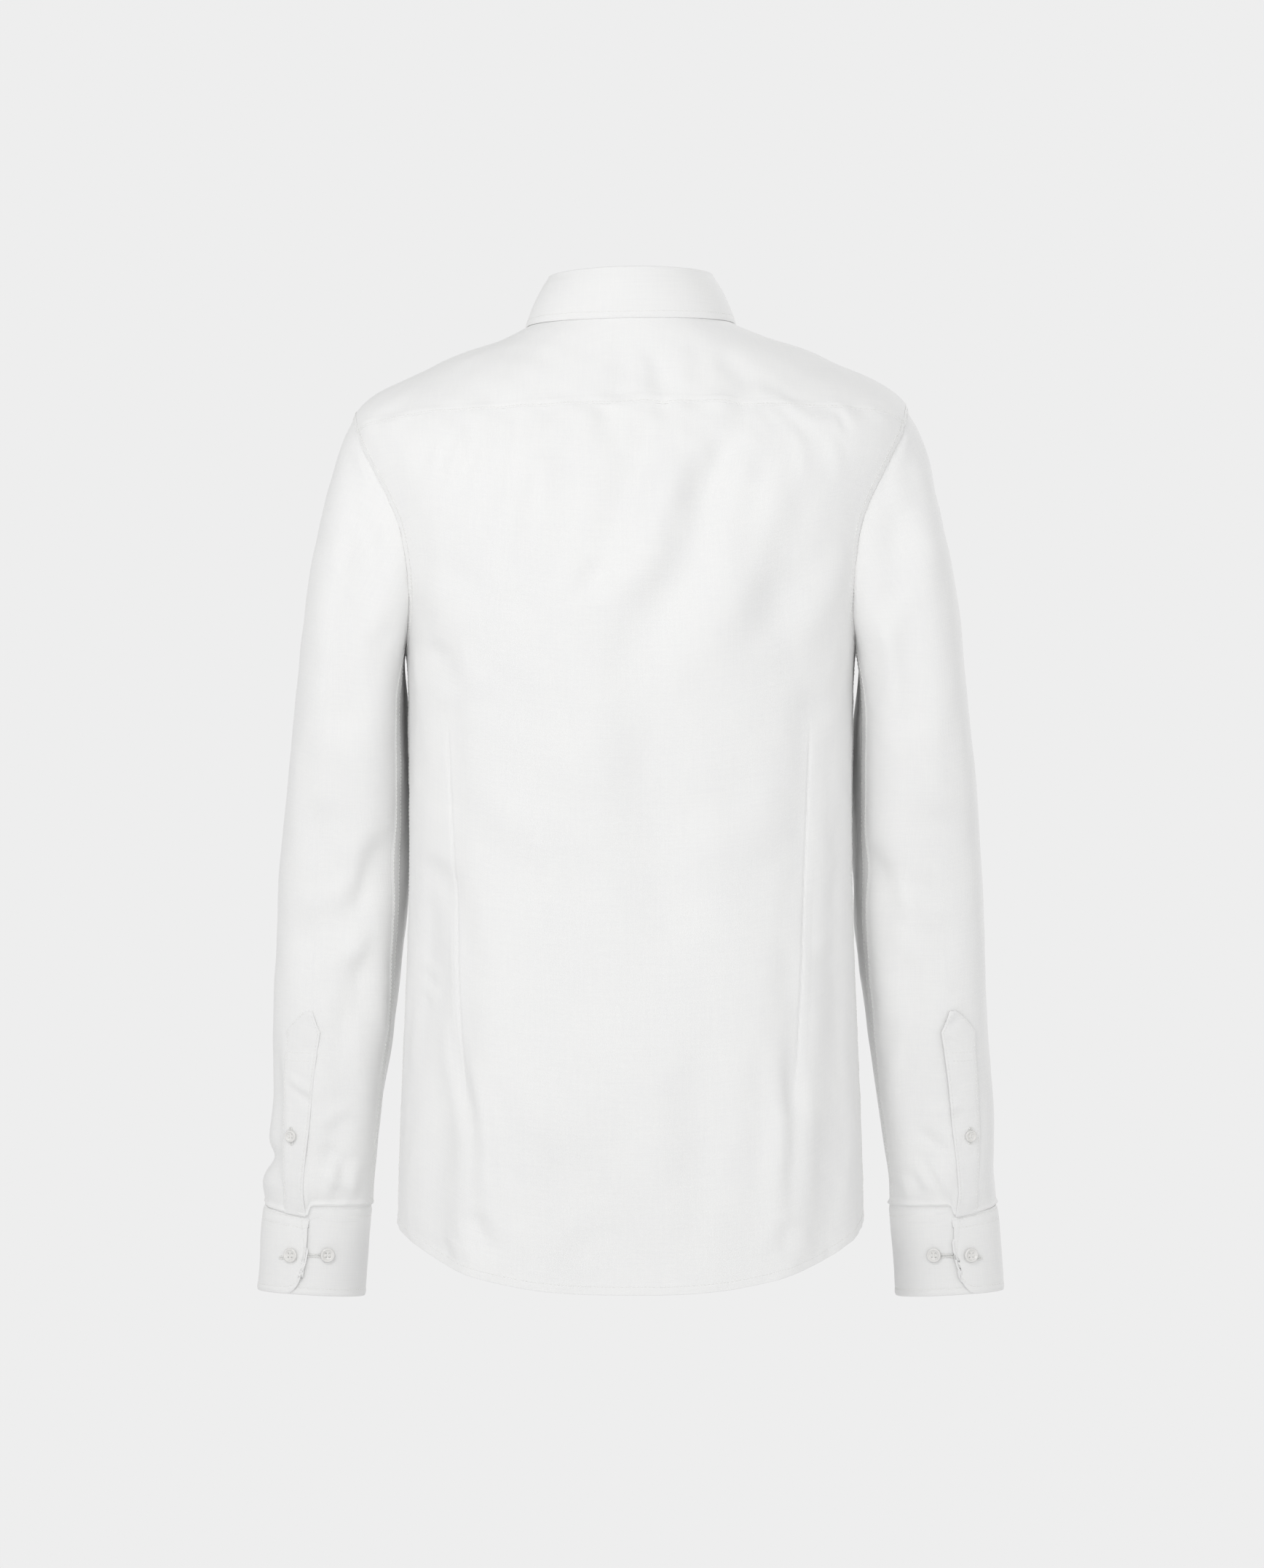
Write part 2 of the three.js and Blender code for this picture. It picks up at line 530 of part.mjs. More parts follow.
// Cuff surface: turn runs on past 360 where the band goes under itself, up is 0 at the bottom edge.
function cuffPoint(turn, up, lift = 0) {
  const outward = -Math.cos(radians(turn));
  const back = Math.sin(radians(turn));
  const lap = CUFF_LAP_LIFT * (1 - ease(turn, CUFF_LAP_FLAT, CUFF_LAP_GONE));
  const fromEnd = Math.min(turn - CUFF_EDGE, CUFF_EDGE + CUFF_TURN - turn) * (CUFF_GIRTH / 360);
  const short = clamp(CUFF_CORNER - fromEnd, 0, CUFF_CORNER);
  const corner = CUFF_CORNER - Math.sqrt(CUFF_CORNER ** 2 - short ** 2);
  const bottomZ = mix(CUFF.bottomInnerZ, CUFF.bottomOuterZ, (1 + outward) / 2) + corner;
  const topZ = CUFF.topZ - SEAM_GAP - cuffSlant(turn % 360);
  const outerX = mix(CUFF.bottomOuterX, CUFF.topOuterX, up);
  const innerX = mix(CUFF.bottomInnerX, CUFF.topInnerX, up);
  return new THREE.Vector3(
    (outerX + innerX) / 2 + ((outerX - innerX) / 2 + lap + lift) * outward,
    CUFF.centreY + (CUFF.depth + lap + lift) * back,
    mix(bottomZ, topZ, up),
  );
}

function makeCuff(name, mirrored) {
  const turns = steps(CUFF_EDGE, CUFF_EDGE + CUFF_TURN, CUFF_TURN / CUFF_COLUMN);
  const ups = steps(0, 1, CUFF_ROWS);
  const outer = ups.map((up) => turns.map((turn) => cuffPoint(turn, up)));
  const inner = ups.map((up) => turns.map((turn) => cuffPoint(turn, up, -CUFF_CLOTH)));
  addWall(name, outer, inner, { mirrored, material: trimMaterial });
}

function makePlacket(name, mirrored) {
  const middle = (PLACKET_FROM + PLACKET_TO) / 2;
  const half = (PLACKET_TO - PLACKET_FROM) / 2;
  const outer = [];
  const inner = [];
  for (const row of PLACKET_ROWS) {
    const isTip = row === PLACKET_ROWS[PLACKET_ROWS.length - 1];
    const reach = half * (isTip ? PLACKET_TIP_SHARE : 1);
    const turns = steps(middle - reach, middle + reach, PLACKET_COLUMNS);
    outer.push(turns.map((turn) => sleevePoint(turn, row, LAYER_LIFT + CLOTH)));
    inner.push(turns.map((turn) => sleevePoint(turn, row, LAYER_LIFT)));
  }
  addWall(name, outer, inner, { mirrored, material: trimMaterial });
}

// Collar: the stand rises from the neck seam to the fold line, and the fall turns over it.
function foldPoint(round) {
  const middle = Math.cos(radians(round));
  const base = bodyBase(round, NECK_LEVEL);
  const height = mix(STAND_HEIGHT_BACK, STAND_HEIGHT_FRONT, (1 - middle) / 2);
  const depth = middle >= 0 ? FOLD_BACK_Y : -FOLD_FRONT_Y;
  return new THREE.Vector3(FOLD_HALF_WIDTH * Math.sin(radians(round)), depth * middle, base.z + height);
}

const standSurface = (round, up) => bodyBase(round, NECK_LEVEL).lerp(foldPoint(round), up);
const standNormal = (round, up) => normalOf(standSurface, round, up, 0.05, 0.01);

const standLap = (round) => (round > 0 ? overlapLift(standSurface(round, 0.5).x) : 0);

function standPoint(round, up, lift = 0) {
  return standSurface(round, up).addScaledVector(standNormal(round, up), lift + standLap(round));
}

// The stand has the columns of the neckline that it is sewn to, from one front edge to the other.
function makeStand() {
  const leftRounds = frontRounds(YOKE_NECK_REACH, NECK_LEVEL);
  const rightRounds = leftRounds.map((round) => -round).reverse();
  const yokeRounds = steps(-YOKE_NECK_REACH, YOKE_NECK_REACH, YOKE_COLUMNS);
  const rounds = [...rightRounds, ...yokeRounds.slice(1, -1), ...leftRounds];
  const end = leftRounds[leftRounds.length - 1];
  const outer = [];
  const inner = [];
  for (const share of [0, 0.5, 1]) {
    const place = (round, lift) => {
      const height = standSurface(round, 0).distanceTo(foldPoint(round));
      const fromEnd = radians(end - Math.abs(round)) * FOLD_HALF_WIDTH;
      const short = clamp(STAND_CORNER - fromEnd, 0, STAND_CORNER);
      const corner = STAND_CORNER - Math.sqrt(STAND_CORNER ** 2 - short ** 2);
      const top = height - STAND_BELOW_FOLD - corner;
      return standPoint(round, mix(SEAM_GAP + standLap(round), top, share) / height, lift);
    };
    outer.push(rounds.map((round) => place(round, 0)));
    inner.push(rounds.map((round) => place(round, -CLOTH)));
  }
  addWall("collar_stand", outer, inner, { material: trimMaterial });
}

function leafEdgeLevel(round) {
  const at = Math.abs(round);
  const last = LEAF_EDGE.length - 1;
  const i = clamp(LEAF_EDGE.findIndex((row) => row.round > at) - 1, 0, last - 1);
  const past = LEAF_EDGE.every((row) => row.round <= at);
  const low = past ? last - 1 : i;
  const share = (at - LEAF_EDGE[low].round) / (LEAF_EDGE[low + 1].round - LEAF_EDGE[low].round);
  return column(LEAF_EDGE, "level", low + clamp(share, 0, 1));
}

// Points across the fall from its lower edge up, over the fold and down inside to the stand's top
function leafProfile(share) {
  const foldRound = LEAF_FOLD_END * share;
  const edgeRound = LEAF_EDGE[LEAF_EDGE.length - 1].round * share;
  const fold = foldPoint(foldRound);
  const outward = standNormal(foldRound, 0.9);
  const tilt = (across, down) => along(fold, outward, across).add(new THREE.Vector3(0, 0, -down));
  const middleAcross = LEAF_FOLD_RADIUS - CLOTH;
  const arc = steps(0, 180, LEAF_FOLD_STEPS).map((angle) => {
    const across = middleAcross + LEAF_FOLD_RADIUS * Math.cos(radians(angle));
    return tilt(across, LEAF_FOLD_RADIUS * (1 - Math.sin(radians(angle))));
  });
  const edge = bodyPoint(edgeRound, leafEdgeLevel(edgeRound), LEAF_CLEARANCE + LEAF_CLOTH);
  const fall = steps(0, 1, LEAF_ROWS).slice(0, -1).map((t) => {
    const belly = LEAF_BELLY * 4 * t * (1 - t);
    return along(edge.clone().lerp(arc[0], t), outward, belly);
  });
  return [...fall, ...arc, tilt(-CLOTH, LEAF_INSIDE_LEG)];
}

// Normals of a grid of points, from its own neighbours
function gridNormals(grid) {
  const lastRow = grid.length - 1;
  const lastCol = grid[0].length - 1;
  return grid.map((row, r) =>
    row.map((_, c) => {
      const up = grid[Math.min(r + 1, lastRow)][c].clone().sub(grid[Math.max(r - 1, 0)][c]);
      const across = grid[r][Math.min(c + 1, lastCol)].clone().sub(grid[r][Math.max(c - 1, 0)]);
      return up.cross(across).normalize();
    }),
  );
}

function makeLeaf() {
  const profiles = steps(-1, 1, LEAF_COLUMNS).map(leafProfile);
  const outer = profiles[0].map((_, r) => profiles.map((profile) => profile[r]));
  const normals = gridNormals(outer);
  const inner = outer.map((row, r) => row.map((point, c) => along(point, normals[r][c], -LEAF_CLOTH)));
  addWall("collar_leaf", outer, inner, { material: trimMaterial });
}

// A button lies with its flat back on the cloth and faces along the given normal.
function addButton(name, point, normal, radius, mirrored = false) {
  const profile = [
    [0, 0],
    [radius * 0.88, 0],
    [radius, BUTTON_THICK * 0.35],
    [radius, BUTTON_THICK * 0.75],
    [radius * 0.84, BUTTON_THICK],
    [0, BUTTON_THICK * 0.86],
  ].map(([x, y]) => new THREE.Vector2(x, y));
  const mesh = new THREE.Mesh(new THREE.LatheGeometry(profile, BUTTON_SIDES), buttonMaterial);
  const side = new THREE.Vector3(mirrored ? -1 : 1, 1, 1);
  const facing = normal.clone().multiply(side);
  mesh.position.copy(settle(point.clone().multiply(side)));
  mesh.quaternion.setFromUnitVectors(new THREE.Vector3(0, 1, 0), facing);
  mesh.name = name;
  shirt.add(mesh);
}

// The level of the body's front middle at a height
function frontLevelAt(z) {
  let low = 0;
  let high = NECK_LEVEL;
  for (let i = 0; i < 40; i++) {
    const level = (low + high) / 2;
    if (bodyBase(180, level).z < z) low = level;
    else high = level;
  }
  return low;
}

function makeFrontButtons() {
  const collarAt = standPoint(180, COLLAR_BUTTON_UP, SEAM_GAP);
  addButton("collar_button", collarAt, standNormal(180, COLLAR_BUTTON_UP), BUTTON_RADIUS);
  for (let i = 0; i < FRONT_BUTTON_COUNT; i++) {
    const level = frontLevelAt(FRONT_BUTTON_TOP_Z - i * FRONT_BUTTON_PITCH);
    const point = bodyPoint(180, level, FRONT_LIFT + SEAM_GAP);
    addButton(`front_button_${i + 1}`, point, bodyNormal(180, level), BUTTON_RADIUS);
  }
}

function sleeveRowAt(turn, z) {
  let low = SLEEVE_END;
  let high = 0;
  for (let i = 0; i < 40; i++) {
    const row = (low + high) / 2;
    if (sleeveBase(turn, row).z < z) low = row;
    else high = row;
  }
  return low;
}

function makeSleeveButtons(side, mirrored) {
  const cuffUp = (turn) => {
    const bottom = cuffPoint(turn, 0).z;
    return (CUFF_BUTTON_Z - bottom) / (cuffPoint(turn, 1).z - bottom);
  };
  const places = [CUFF_BUTTON_OUTER, CUFF_BUTTON_INNER + 360];
  places.forEach((turn, i) => {
    const point = cuffPoint(turn, cuffUp(turn), SEAM_GAP);
    const normal = normalOf(cuffPoint, turn, cuffUp(turn), 0.05, 0.01);
    addButton(`cuff_button_${side}_${i + 1}`, point, normal, BUTTON_RADIUS, mirrored);
  });
  const middle = (PLACKET_FROM + PLACKET_TO) / 2;
  const row = sleeveRowAt(middle, PLACKET_BUTTON_Z);
  const point = sleevePoint(middle, row, LAYER_LIFT + CLOTH + SEAM_GAP);
  addButton(`placket_button_${side}`, point, sleeveNormal(middle, row), PLACKET_BUTTON_RADIUS, mirrored);
}

makeBack();
makeYoke();
makeFronts();
makeStand();
makeLeaf();
makeFrontButtons();
for (const [side, mirrored] of [["left", false], ["right", true]]) {
  makeSleeve(`sleeve_${side}`, mirrored);
  makeCuff(`cuff_${side}`, mirrored);
  makePlacket(`placket_${side}`, mirrored);
  makeSleeveButtons(side, mirrored);
}

export default shirt;
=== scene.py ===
"""A white long sleeve dress shirt, filled out as it is worn with nobody in it, seen from behind."""
import math

import bpy
import numpy as np
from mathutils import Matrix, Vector


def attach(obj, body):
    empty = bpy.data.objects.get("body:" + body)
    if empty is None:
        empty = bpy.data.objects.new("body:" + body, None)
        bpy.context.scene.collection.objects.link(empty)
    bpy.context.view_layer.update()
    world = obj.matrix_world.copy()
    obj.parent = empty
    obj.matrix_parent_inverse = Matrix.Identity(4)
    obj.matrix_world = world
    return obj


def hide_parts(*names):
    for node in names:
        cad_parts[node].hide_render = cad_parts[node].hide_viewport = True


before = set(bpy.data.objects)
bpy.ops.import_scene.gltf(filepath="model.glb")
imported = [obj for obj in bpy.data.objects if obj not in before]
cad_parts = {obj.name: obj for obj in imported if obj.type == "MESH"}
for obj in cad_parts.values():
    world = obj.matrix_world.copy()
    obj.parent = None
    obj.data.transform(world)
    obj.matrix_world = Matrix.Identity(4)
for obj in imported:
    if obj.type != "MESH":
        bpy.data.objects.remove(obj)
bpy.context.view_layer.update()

MM = 0.001
SEED = 20260
UPRIGHT = np.array([0.0, 0.0, 1.0])
SIDEWAYS = np.array([1.0, 0.0, 0.0])
MIRRORED = np.array([-1.0, 1.0, 1.0])

# Cloth, in millimetres
PANEL_CLOTH = 0.7
COLLAR_CLOTH = 1.2
CUFF_CLOTH = 1.8
PLACKET_CLOTH = 1.0
TUCK_DEPTH = 0.8  # how far an edge drops where the next panel laps over it
GRID_STEP = 3.4  # between the points of a panel, away from its edges
EDGE_MARKS = (0.0, 0.6, 1.3, 2.2, 3.4, 4.8, 6.0, 7.0, 8.2, 9.8, 12.0)  # in from a panel's edge
EDGE_MARKS_REACH = 0.42  # of a panel's width, the most that the marks take up at each end
TURN_STEP = 0.05  # degrees, for working out which way the cloth faces
ROW_STEP = 0.002
UP_STEP = 0.01
HALVINGS = 40  # of a stretch, when a place on the cloth is searched for by its height

# Front opening
FRONT_OVERLAP = 17.0
FRONT_LIFT = 1.6
LIFT_FULL_X = 22.0
LIFT_GONE_X = 70.0
FRONT_BUTTON_TOP_Z = -122.0
FRONT_BUTTON_PITCH = 84.0
FRONT_BUTTON_COUNT = 7
PLACKET_BAND = 34.0  # the stitched band down the left front

# The lower left shoulder
SHOULDER_TILT = 0.0164
TILT_NONE_Z = -250.0
TILT_FULL_Z = -70.0

# The body from hem to neck, a ring a row. A level is a place between two rows.
BODY_COLUMNS = ("side_x", "side_z", "back_y", "back_z", "front_y", "front_z", "square", "drop")
BODY_RINGS = (
    ("hem", 178.5, -688, 122, -737, -122, -715, 2.5, 1.4),
    ("hip", 177.5, -640, 121, -660, -122, -650, 2.5, 1.4),
    ("seat", 174.5, -560, 118, -570, -119, -565, 2.5, 1.4),
    ("low waist", 171.2, -480, 110, -485, -114, -483, 2.5, 1.4),
    ("waist", 169.5, -400, 106, -400, -112, -400, 2.5, 1.4),
    ("ribs", 170.5, -320, 113, -315, -118, -318, 2.5, 1.4),
    ("underarm", 173, -248, 120, -235, -124, -240, 2.5, 1.4),
    ("blade", 193, -160, 121, -160, -118, -165, 2.5, 1.4),
    ("shoulder", 213, -69, 106, -100, -104, -120, 2.5, 1.4),
    ("ridge", 150, -29, 86, -52, -92, -100, 2.5, 1.4),
    ("base", 100, -10, 70, -15, -78, -78, 2.4, 1.6),
    ("neck", 66, 6, 60, 7, -68, -62, 2, 2.3),
)
UNDERARM_LEVEL = 6.0
ARMHOLE_LEVEL = 7.0
NECK_LEVEL = 11.0
ARMHOLE_REACH_BACK = 28.0
ARMHOLE_REACH_FRONT = 30.0
YOKE_END = 150.0  # degrees round the armhole
YOKE_MIDDLE_LEVEL = 8.71
YOKE_CURVE = 1.7
YOKE_NECK_REACH = 108.0
YOKE_SEAM_SHARE = 20.0 / 28.0  # of the yoke's outer edge

# The left sleeve from armhole to cuff seam, a ring a row
SLEEVE_COLUMNS = ("outer_x", "outer_z", "inner_x", "inner_z", "centre_y", "depth", "turn")
SLEEVE_RINGS = (
    ("armhole", 213, -66, 173, -248, 0, 70, 0),
    ("cap", 230, -115, 174.5, -262, -2, 74, 0),
    ("bicep", 244.5, -195, 174.3, -290, -8, 74, 5),
    ("upper", 254.5, -285, 173.2, -330, -18, 70, 8),
    ("above elbow", 263.5, -365, 172.8, -385, -30, 64, 10),
    ("elbow", 271, -440, 175, -448, -38, 59, 9),
    ("forearm", 275, -530, 183.4, -534, -44, 53, 5),
    ("low forearm", 281, -605, 193.5, -605, -50, 47, 2),
    ("above cuff", 283, -657, 200, -657, -54, 43, 0),
    ("cuff seam", 283.5, -679, 201.5, -680, -55, 36, 0),
)
SLEEVE_SQUARE = 2.65  # how square the sleeve's section is, and the same at the cuff
CUFF_SQUARE = 2.1
SLEEVE_SQUARE_ROWS = 2.0  # above the cuff, where the section turns from the one to the other
SLEEVE_END = 9.0
CAP_BLEND = 1.6  # rows over which the sleeve takes up the armhole's shape
UNDERARM_SEAM_TURN = 16.0
UNDERARM_SEAM_HALF = 3.0
UNDERARM_SEAM_SLOPE = 0.8
UNDERARM_SEAM_RISE = 0.55
UNDERARM_SEAM_MARKS = np.array([-7, -5.5, -4.6, -3.8, -2.5, 0, 2.5, 3.8, 4.6, 5.5, 7])
UNDERARM_STITCH_IN = 0.6
UNDERARM_DEGREES = 1.35  # degrees of turn for a millimetre round the sleeve

CUFF = {
    "top_outer_x": 284.5, "top_inner_x": 201.0, "top_z": -679.5,
    "bottom_outer_x": 288.5, "bottom_inner_x": 206.0,
    "bottom_outer_z": -745.0, "bottom_inner_z": -750.0,
    "centre_y": -55.0, "depth": 35.0,
}
CUFF_EDGE = 99.0
CUFF_TURN = 405.0
CUFF_LAP_LIFT = 2.4
CUFF_LAP_FLAT = 150.0
CUFF_LAP_GONE = 225.0
CUFF_TOP_DIP = 0.7  # the sewn top edge is pulled down onto the sleeve
CUFF_CORNER_WIDE = 13.0
CUFF_CORNER_HIGH = 19.0
CUFF_GIRTH = 240.0
CUFF_SLANT = 8.0
CUFF_SLANT_BEFORE = 3.0
CUFF_SLANT_AFTER = 82.0
CUFF_SLANT_ROWS = 1.2  # rows of the sleeve that slant with the cuff
CUFF_EDGE_BULGE = 2.4  # degrees that the free edge bows out over the under layer
SLEEVE_TUCK_LENGTH = 12.0
CUFF_PUFF = 1.3  # the roll of cloth that stands over the top of a cuff
OUTER_EDGE_FOLDS = {  # level, width and height of the folds that cross a sleeve's outer edge
    "left": ((-600.0, 32.0, -3.2), (-642.0, 9.0, -6.0), (-662.0, 10.0, 2.6)),
    "right": ((-600.0, 24.0, 0.8), (-652.0, 14.0, -1.0)),
}
CUFF_BUTTON_Z = -717.0
CUFF_BUTTON_OUTER = 114.0
CUFF_BUTTON_INNER = 75.0

PLACKET_FROM = 100.5
PLACKET_TO = 126.0
PLACKET_BOTTOM_ROW = 8.97
PLACKET_SHOULDER_ROW = 6.15
PLACKET_TIP_ROW = 5.95
PLACKET_TIP_SHARE = 0.08
PLACKET_BUTTON_Z = -624.0
PLACKET_CLOSED_Z = -558.0  # stitched shut above here
PLACKET_LIFT = 0.6
PLACKET_EDGE_ROWS = (5.95, 6.15, 6.6, 7.2, 7.8, 8.3, 8.97)
PLACKET_EDGE_SWAY = (-13.5, -8.0, -5.5, -4.0, 0.0, 2.5, 0.5)  # degrees that the free edge is off straight
PLACKET_EDGE_STANDS = 0.7

FOLD_HALF_WIDTH = 61.0
FOLD_BACK_Y = 58.0
FOLD_FRONT_Y = -64.0
STAND_HEIGHT_BACK = 34.0
STAND_HEIGHT_FRONT = 30.0
STAND_BELOW_FOLD = 6.0
STAND_CORNER = 12.0
LEAF_FOLD_RADIUS = 1.9
LEAF_INSIDE_LEG = 5.8
LEAF_FOLD_END = 175.5
LEAF_EDGE_END = 161.0
LEAF_CLEARANCE = 0.0
LEAF_BELLY = 2.2
LEAF_EDGE_TURNS = (0, 45, 90, 125, 150, 161)
LEAF_EDGE_LEVELS = (10.71, 10.67, 10.56, 10.3, 9.8, 9.4)
COLLAR_BUTTON_UP = 0.45

BUTTON_RADIUS = 5.6
PLACKET_BUTTON_RADIUS = 4.6
BUTTON_THICK = 2.5

# Creases: x and z of both ends, how wide, how high, and for the fine ones how far the middle is bowed aside.
# A ridge has a height over nought, and a hollow one under it. The large folds are in the solids too.
LARGE_BACK_FOLDS = (
    ("left dart", 138, -300, 126, -590, 30, -4),
    ("right dart", -136, -300, -125, -590, 30, -4),
    ("left dart drape", 122, -610, 118, -735, 34, 5),
    ("right dart drape", -121, -610, -119, -735, 36, 5),
    ("left flank trough", 150, -430, 148, -700, 34, -4),
    ("right flank trough", -158, -505, -152, -690, 32, -4),
    ("hem trough", 25, -640, 5, -740, 70, -6),
    ("blade ridge", -40, -95, 40, -215, 46, 3),
    ("blade trough", -75, -110, 5, -260, 44, -3),
)
LARGE_FRONT_FOLDS = (
    ("left chest drape", 120, -230, 85, -420, 50, -4),
    ("right chest drape", -122, -220, -92, -400, 46, -3.5),
    ("left skirt fold", 98, -500, 108, -715, 48, 5),
    ("right skirt fold", -104, -520, -112, -715, 44, 5),
    ("left skirt trough", 60, -560, 66, -715, 40, -4),
)
LARGE_SLEEVE_BACK_FOLDS = (
    ("cap drape", 196, -150, 214, -300, 30, -4),
    ("upper arm roll", 228, -180, 236, -360, 34, 4),
    ("elbow trough", 196, -420, 246, -470, 34, -4),
    ("forearm trough", 214, -500, 226, -640, 30, -4),
)
LARGE_SLEEVE_FRONT_FOLDS = (
    ("inner elbow fold", 190, -430, 255, -400, 34, -6),
    ("lower elbow fold", 196, -480, 262, -455, 30, -5),
    ("front roll", 215, -210, 228, -360, 36, 4),
)
BACK_CREASES = (
    ("left seam tuck, outer", 127, -84, 144, -128, 9, 1.7, 4),
    ("left seam tuck, middle", 110, -82, 121, -138, 10, 1.5, 3),
    ("left seam tuck, inner", 94, -78, 104, -112, 8, 1.1, 2),
    ("left seam tuck, end", 146, -90, 158, -132, 8, 1.1, 3),
    ("left blade drape", 85, -105, 112, -205, 24, -1.7, 6),
    ("left blade roll", 64, -98, 86, -190, 26, 1.2, 5),
    ("seam well, left of centre", 20, -64, 19, -98, 15, -2.4, 0),
    ("seam well, right of centre", -26, -62, -22, -92, 12, -1.8, 0),
    ("centre tuck", -3, -66, 4, -108, 9, 1.4, 0),
    ("yoke drape, centre", 2, -24, 16, -76, 17, -1.7, 2),
    ("yoke drape, right of centre", -22, -28, -26, -72, 14, -1.5, 0),
    ("yoke roll, centre", -9, -28, -6, -72, 13, 1.2, 0),
    ("yoke roll, right", -43, -24, -40, -64, 15, 1.4, 0),
    ("yoke drape, right", -70, -26, -96, -62, 22, -1.3, 0),
    ("yoke drape, left", 66, -30, 104, -58, 26, 1.2, 4),
    ("blade band, shaded", -6, -84, 38, -206, 24, -2.0, 8),
    ("blade band, lit", -38, -104, 20, -238, 28, 2.1, 8),
    ("blade hollow", 30, -186, 28, -214, 20, -1.8, 0),
    ("right blade shade", -74, -92, -60, -166, 24, -2.0, -6),
    ("right blade shade, lower", -60, -160, -4, -234, 26, -1.0, 6),
    ("right blade roll", -92, -100, -66, -200, 20, 1.3, -5),
    ("right blade hollow", -100, -150, -128, -300, 46, -1.8, 6),
    ("long right drape", -118, -118, -28, -282, 30, 1.5, 10),
    ("right shoulder fold", -94, -52, -140, -86, 13, 1.5, -3),
    ("right shoulder fold, under", -104, -62, -150, -98, 9, -1.5, -3),
    ("right seam well", -84, -60, -80, -90, 14, -1.3, 0),
    ("right armhole streak", -155, -72, -165, -92, 6, -1.1, 0),
    ("right seam tuck, inner", -82, -84, -112, -116, 12, 0.9, 0),
    ("right seam tuck, middle", -122, -90, -132, -128, 10, 0.9, 3),
    ("right seam tuck, outer", -148, -92, -160, -128, 9, 0.9, 2),
    ("right flank shade", -107, -196, -112, -252, 30, -0.7, 0),
    ("left flank shade", 146, -246, 141, -288, 22, -1.8, 0),
    ("left armhole pull", 158, -190, 112, -246, 26, 1.3, -5),
    ("right armhole pull", -156, -180, -118, -262, 24, 1.2, 5),
    ("small of the back", -12, -300, -28, -530, 40, -1.9, 4),
    ("beside the small of the back", 34, -230, 40, -420, 44, 1.4, 4),
    ("hem swell", 92, -612, -34, -606, 84, 2.0, 10),
    ("hem hollow", 40, -690, 6, -738, 60, -1.6, 0),
    ("left waist swag", 112, -352, 20, -404, 34, 1.1, -14),
    ("right waist swag", -108, -360, -24, -412, 34, 1.0, 14),
    ("left skirt line", 132, -540, 116, -704, 13, -2.6, 3),
    ("left skirt line, lit side", 119, -560, 104, -704, 15, 1.5, 3),
    ("left flank hollow", 152, -410, 142, -690, 34, -2.0, 0),
    ("left skirt hollow", 119, -676, 106, -714, 18, -2.4, 0),
    ("left skirt roll", 140, -450, 144, -590, 22, 1.6, 4),
    ("right skirt line", -125, -560, -127, -700, 13, -2.4, -2),
    ("right skirt line, lit side", -112, -540, -112, -700, 15, 1.4, -2),
    ("right skirt hollow", -120, -684, -116, -712, 16, -2.0, 0),
    ("right skirt roll", -127, -420, -128, -540, 13, 1.5, 0),
    ("right flank band", -156, -360, -160, -680, 20, -1.8, 0),
    ("left side pucker, upper", 164, -488, 146, -500, 7, 1.3, 0),
    ("left side pucker, lower", 163, -506, 148, -520, 7, 1.2, 0),
    ("left side pull", 160, -410, 130, -450, 14, -1.2, 4),
    ("right side pull", -160, -470, -136, -500, 14, -1.2, 4),
    ("skirt swag", 60, -600, -40, -640, 40, 1.0, -16),
    ("skirt drape, left", 58, -560, 50, -720, 30, -1.4, 4),
    ("skirt drape, right", -52, -550, -60, -720, 32, -1.3, -4),
    ("hem corner pucker", 140, -692, 128, -712, 7, 1.0, 0),
    ("hem corner pucker, inner", 126, -700, 116, -718, 7, 0.9, 0),
)
FRONT_CREASES = (
    ("left collar pull", 44, -96, 76, -150, 13, 1.7, 3),
    ("left chest pull", 70, -118, 118, -176, 18, -1.6, 6),
    ("left chest swag", 112, -236, 34, -268, 28, 1.6, -9),
    ("left armhole tuck", 158, -170, 138, -222, 10, 1.5, 2),
    ("left armhole tuck, lower", 154, -214, 128, -250, 10, 1.3, 2),
    ("left waist drape", 58, -330, 74, -470, 28, -1.8, 5),
    ("left waist roll", 112, -360, 104, -500, 22, 1.6, -4),
    ("left belly swag", 124, -430, 40, -474, 26, 1.1, -10),
    ("left skirt line", 82, -540, 88, -700, 12, -1.8, 3),
    ("left skirt roll", 34, -560, 38, -700, 18, 1.2, 2),
    ("left side pucker", 163, -430, 142, -446, 8, 1.2, 0),
    ("right collar pull", -42, -94, -78, -142, 13, 1.6, -3),
    ("right chest pull", -66, -112, -124, -184, 20, -1.7, -6),
    ("right chest swag", -108, -246, -30, -282, 28, 1.5, 9),
    ("right armhole tuck", -160, -164, -136, -214, 10, 1.5, -2),
    ("right armhole tuck, lower", -152, -206, -130, -256, 10, 1.2, -2),
    ("right waist drape", -62, -320, -70, -480, 30, -1.7, -5),
    ("right waist roll", -116, -350, -108, -520, 22, 1.5, 4),
    ("right belly swag", -120, -446, -36, -500, 26, 1.1, 12),
    ("right skirt line", -78, -560, -84, -704, 12, -1.6, -3),
    ("right skirt roll", -138, -540, -142, -690, 20, 1.4, -2),
    ("right side pucker", -164, -520, -144, -540, 8, 1.2, 0),
)
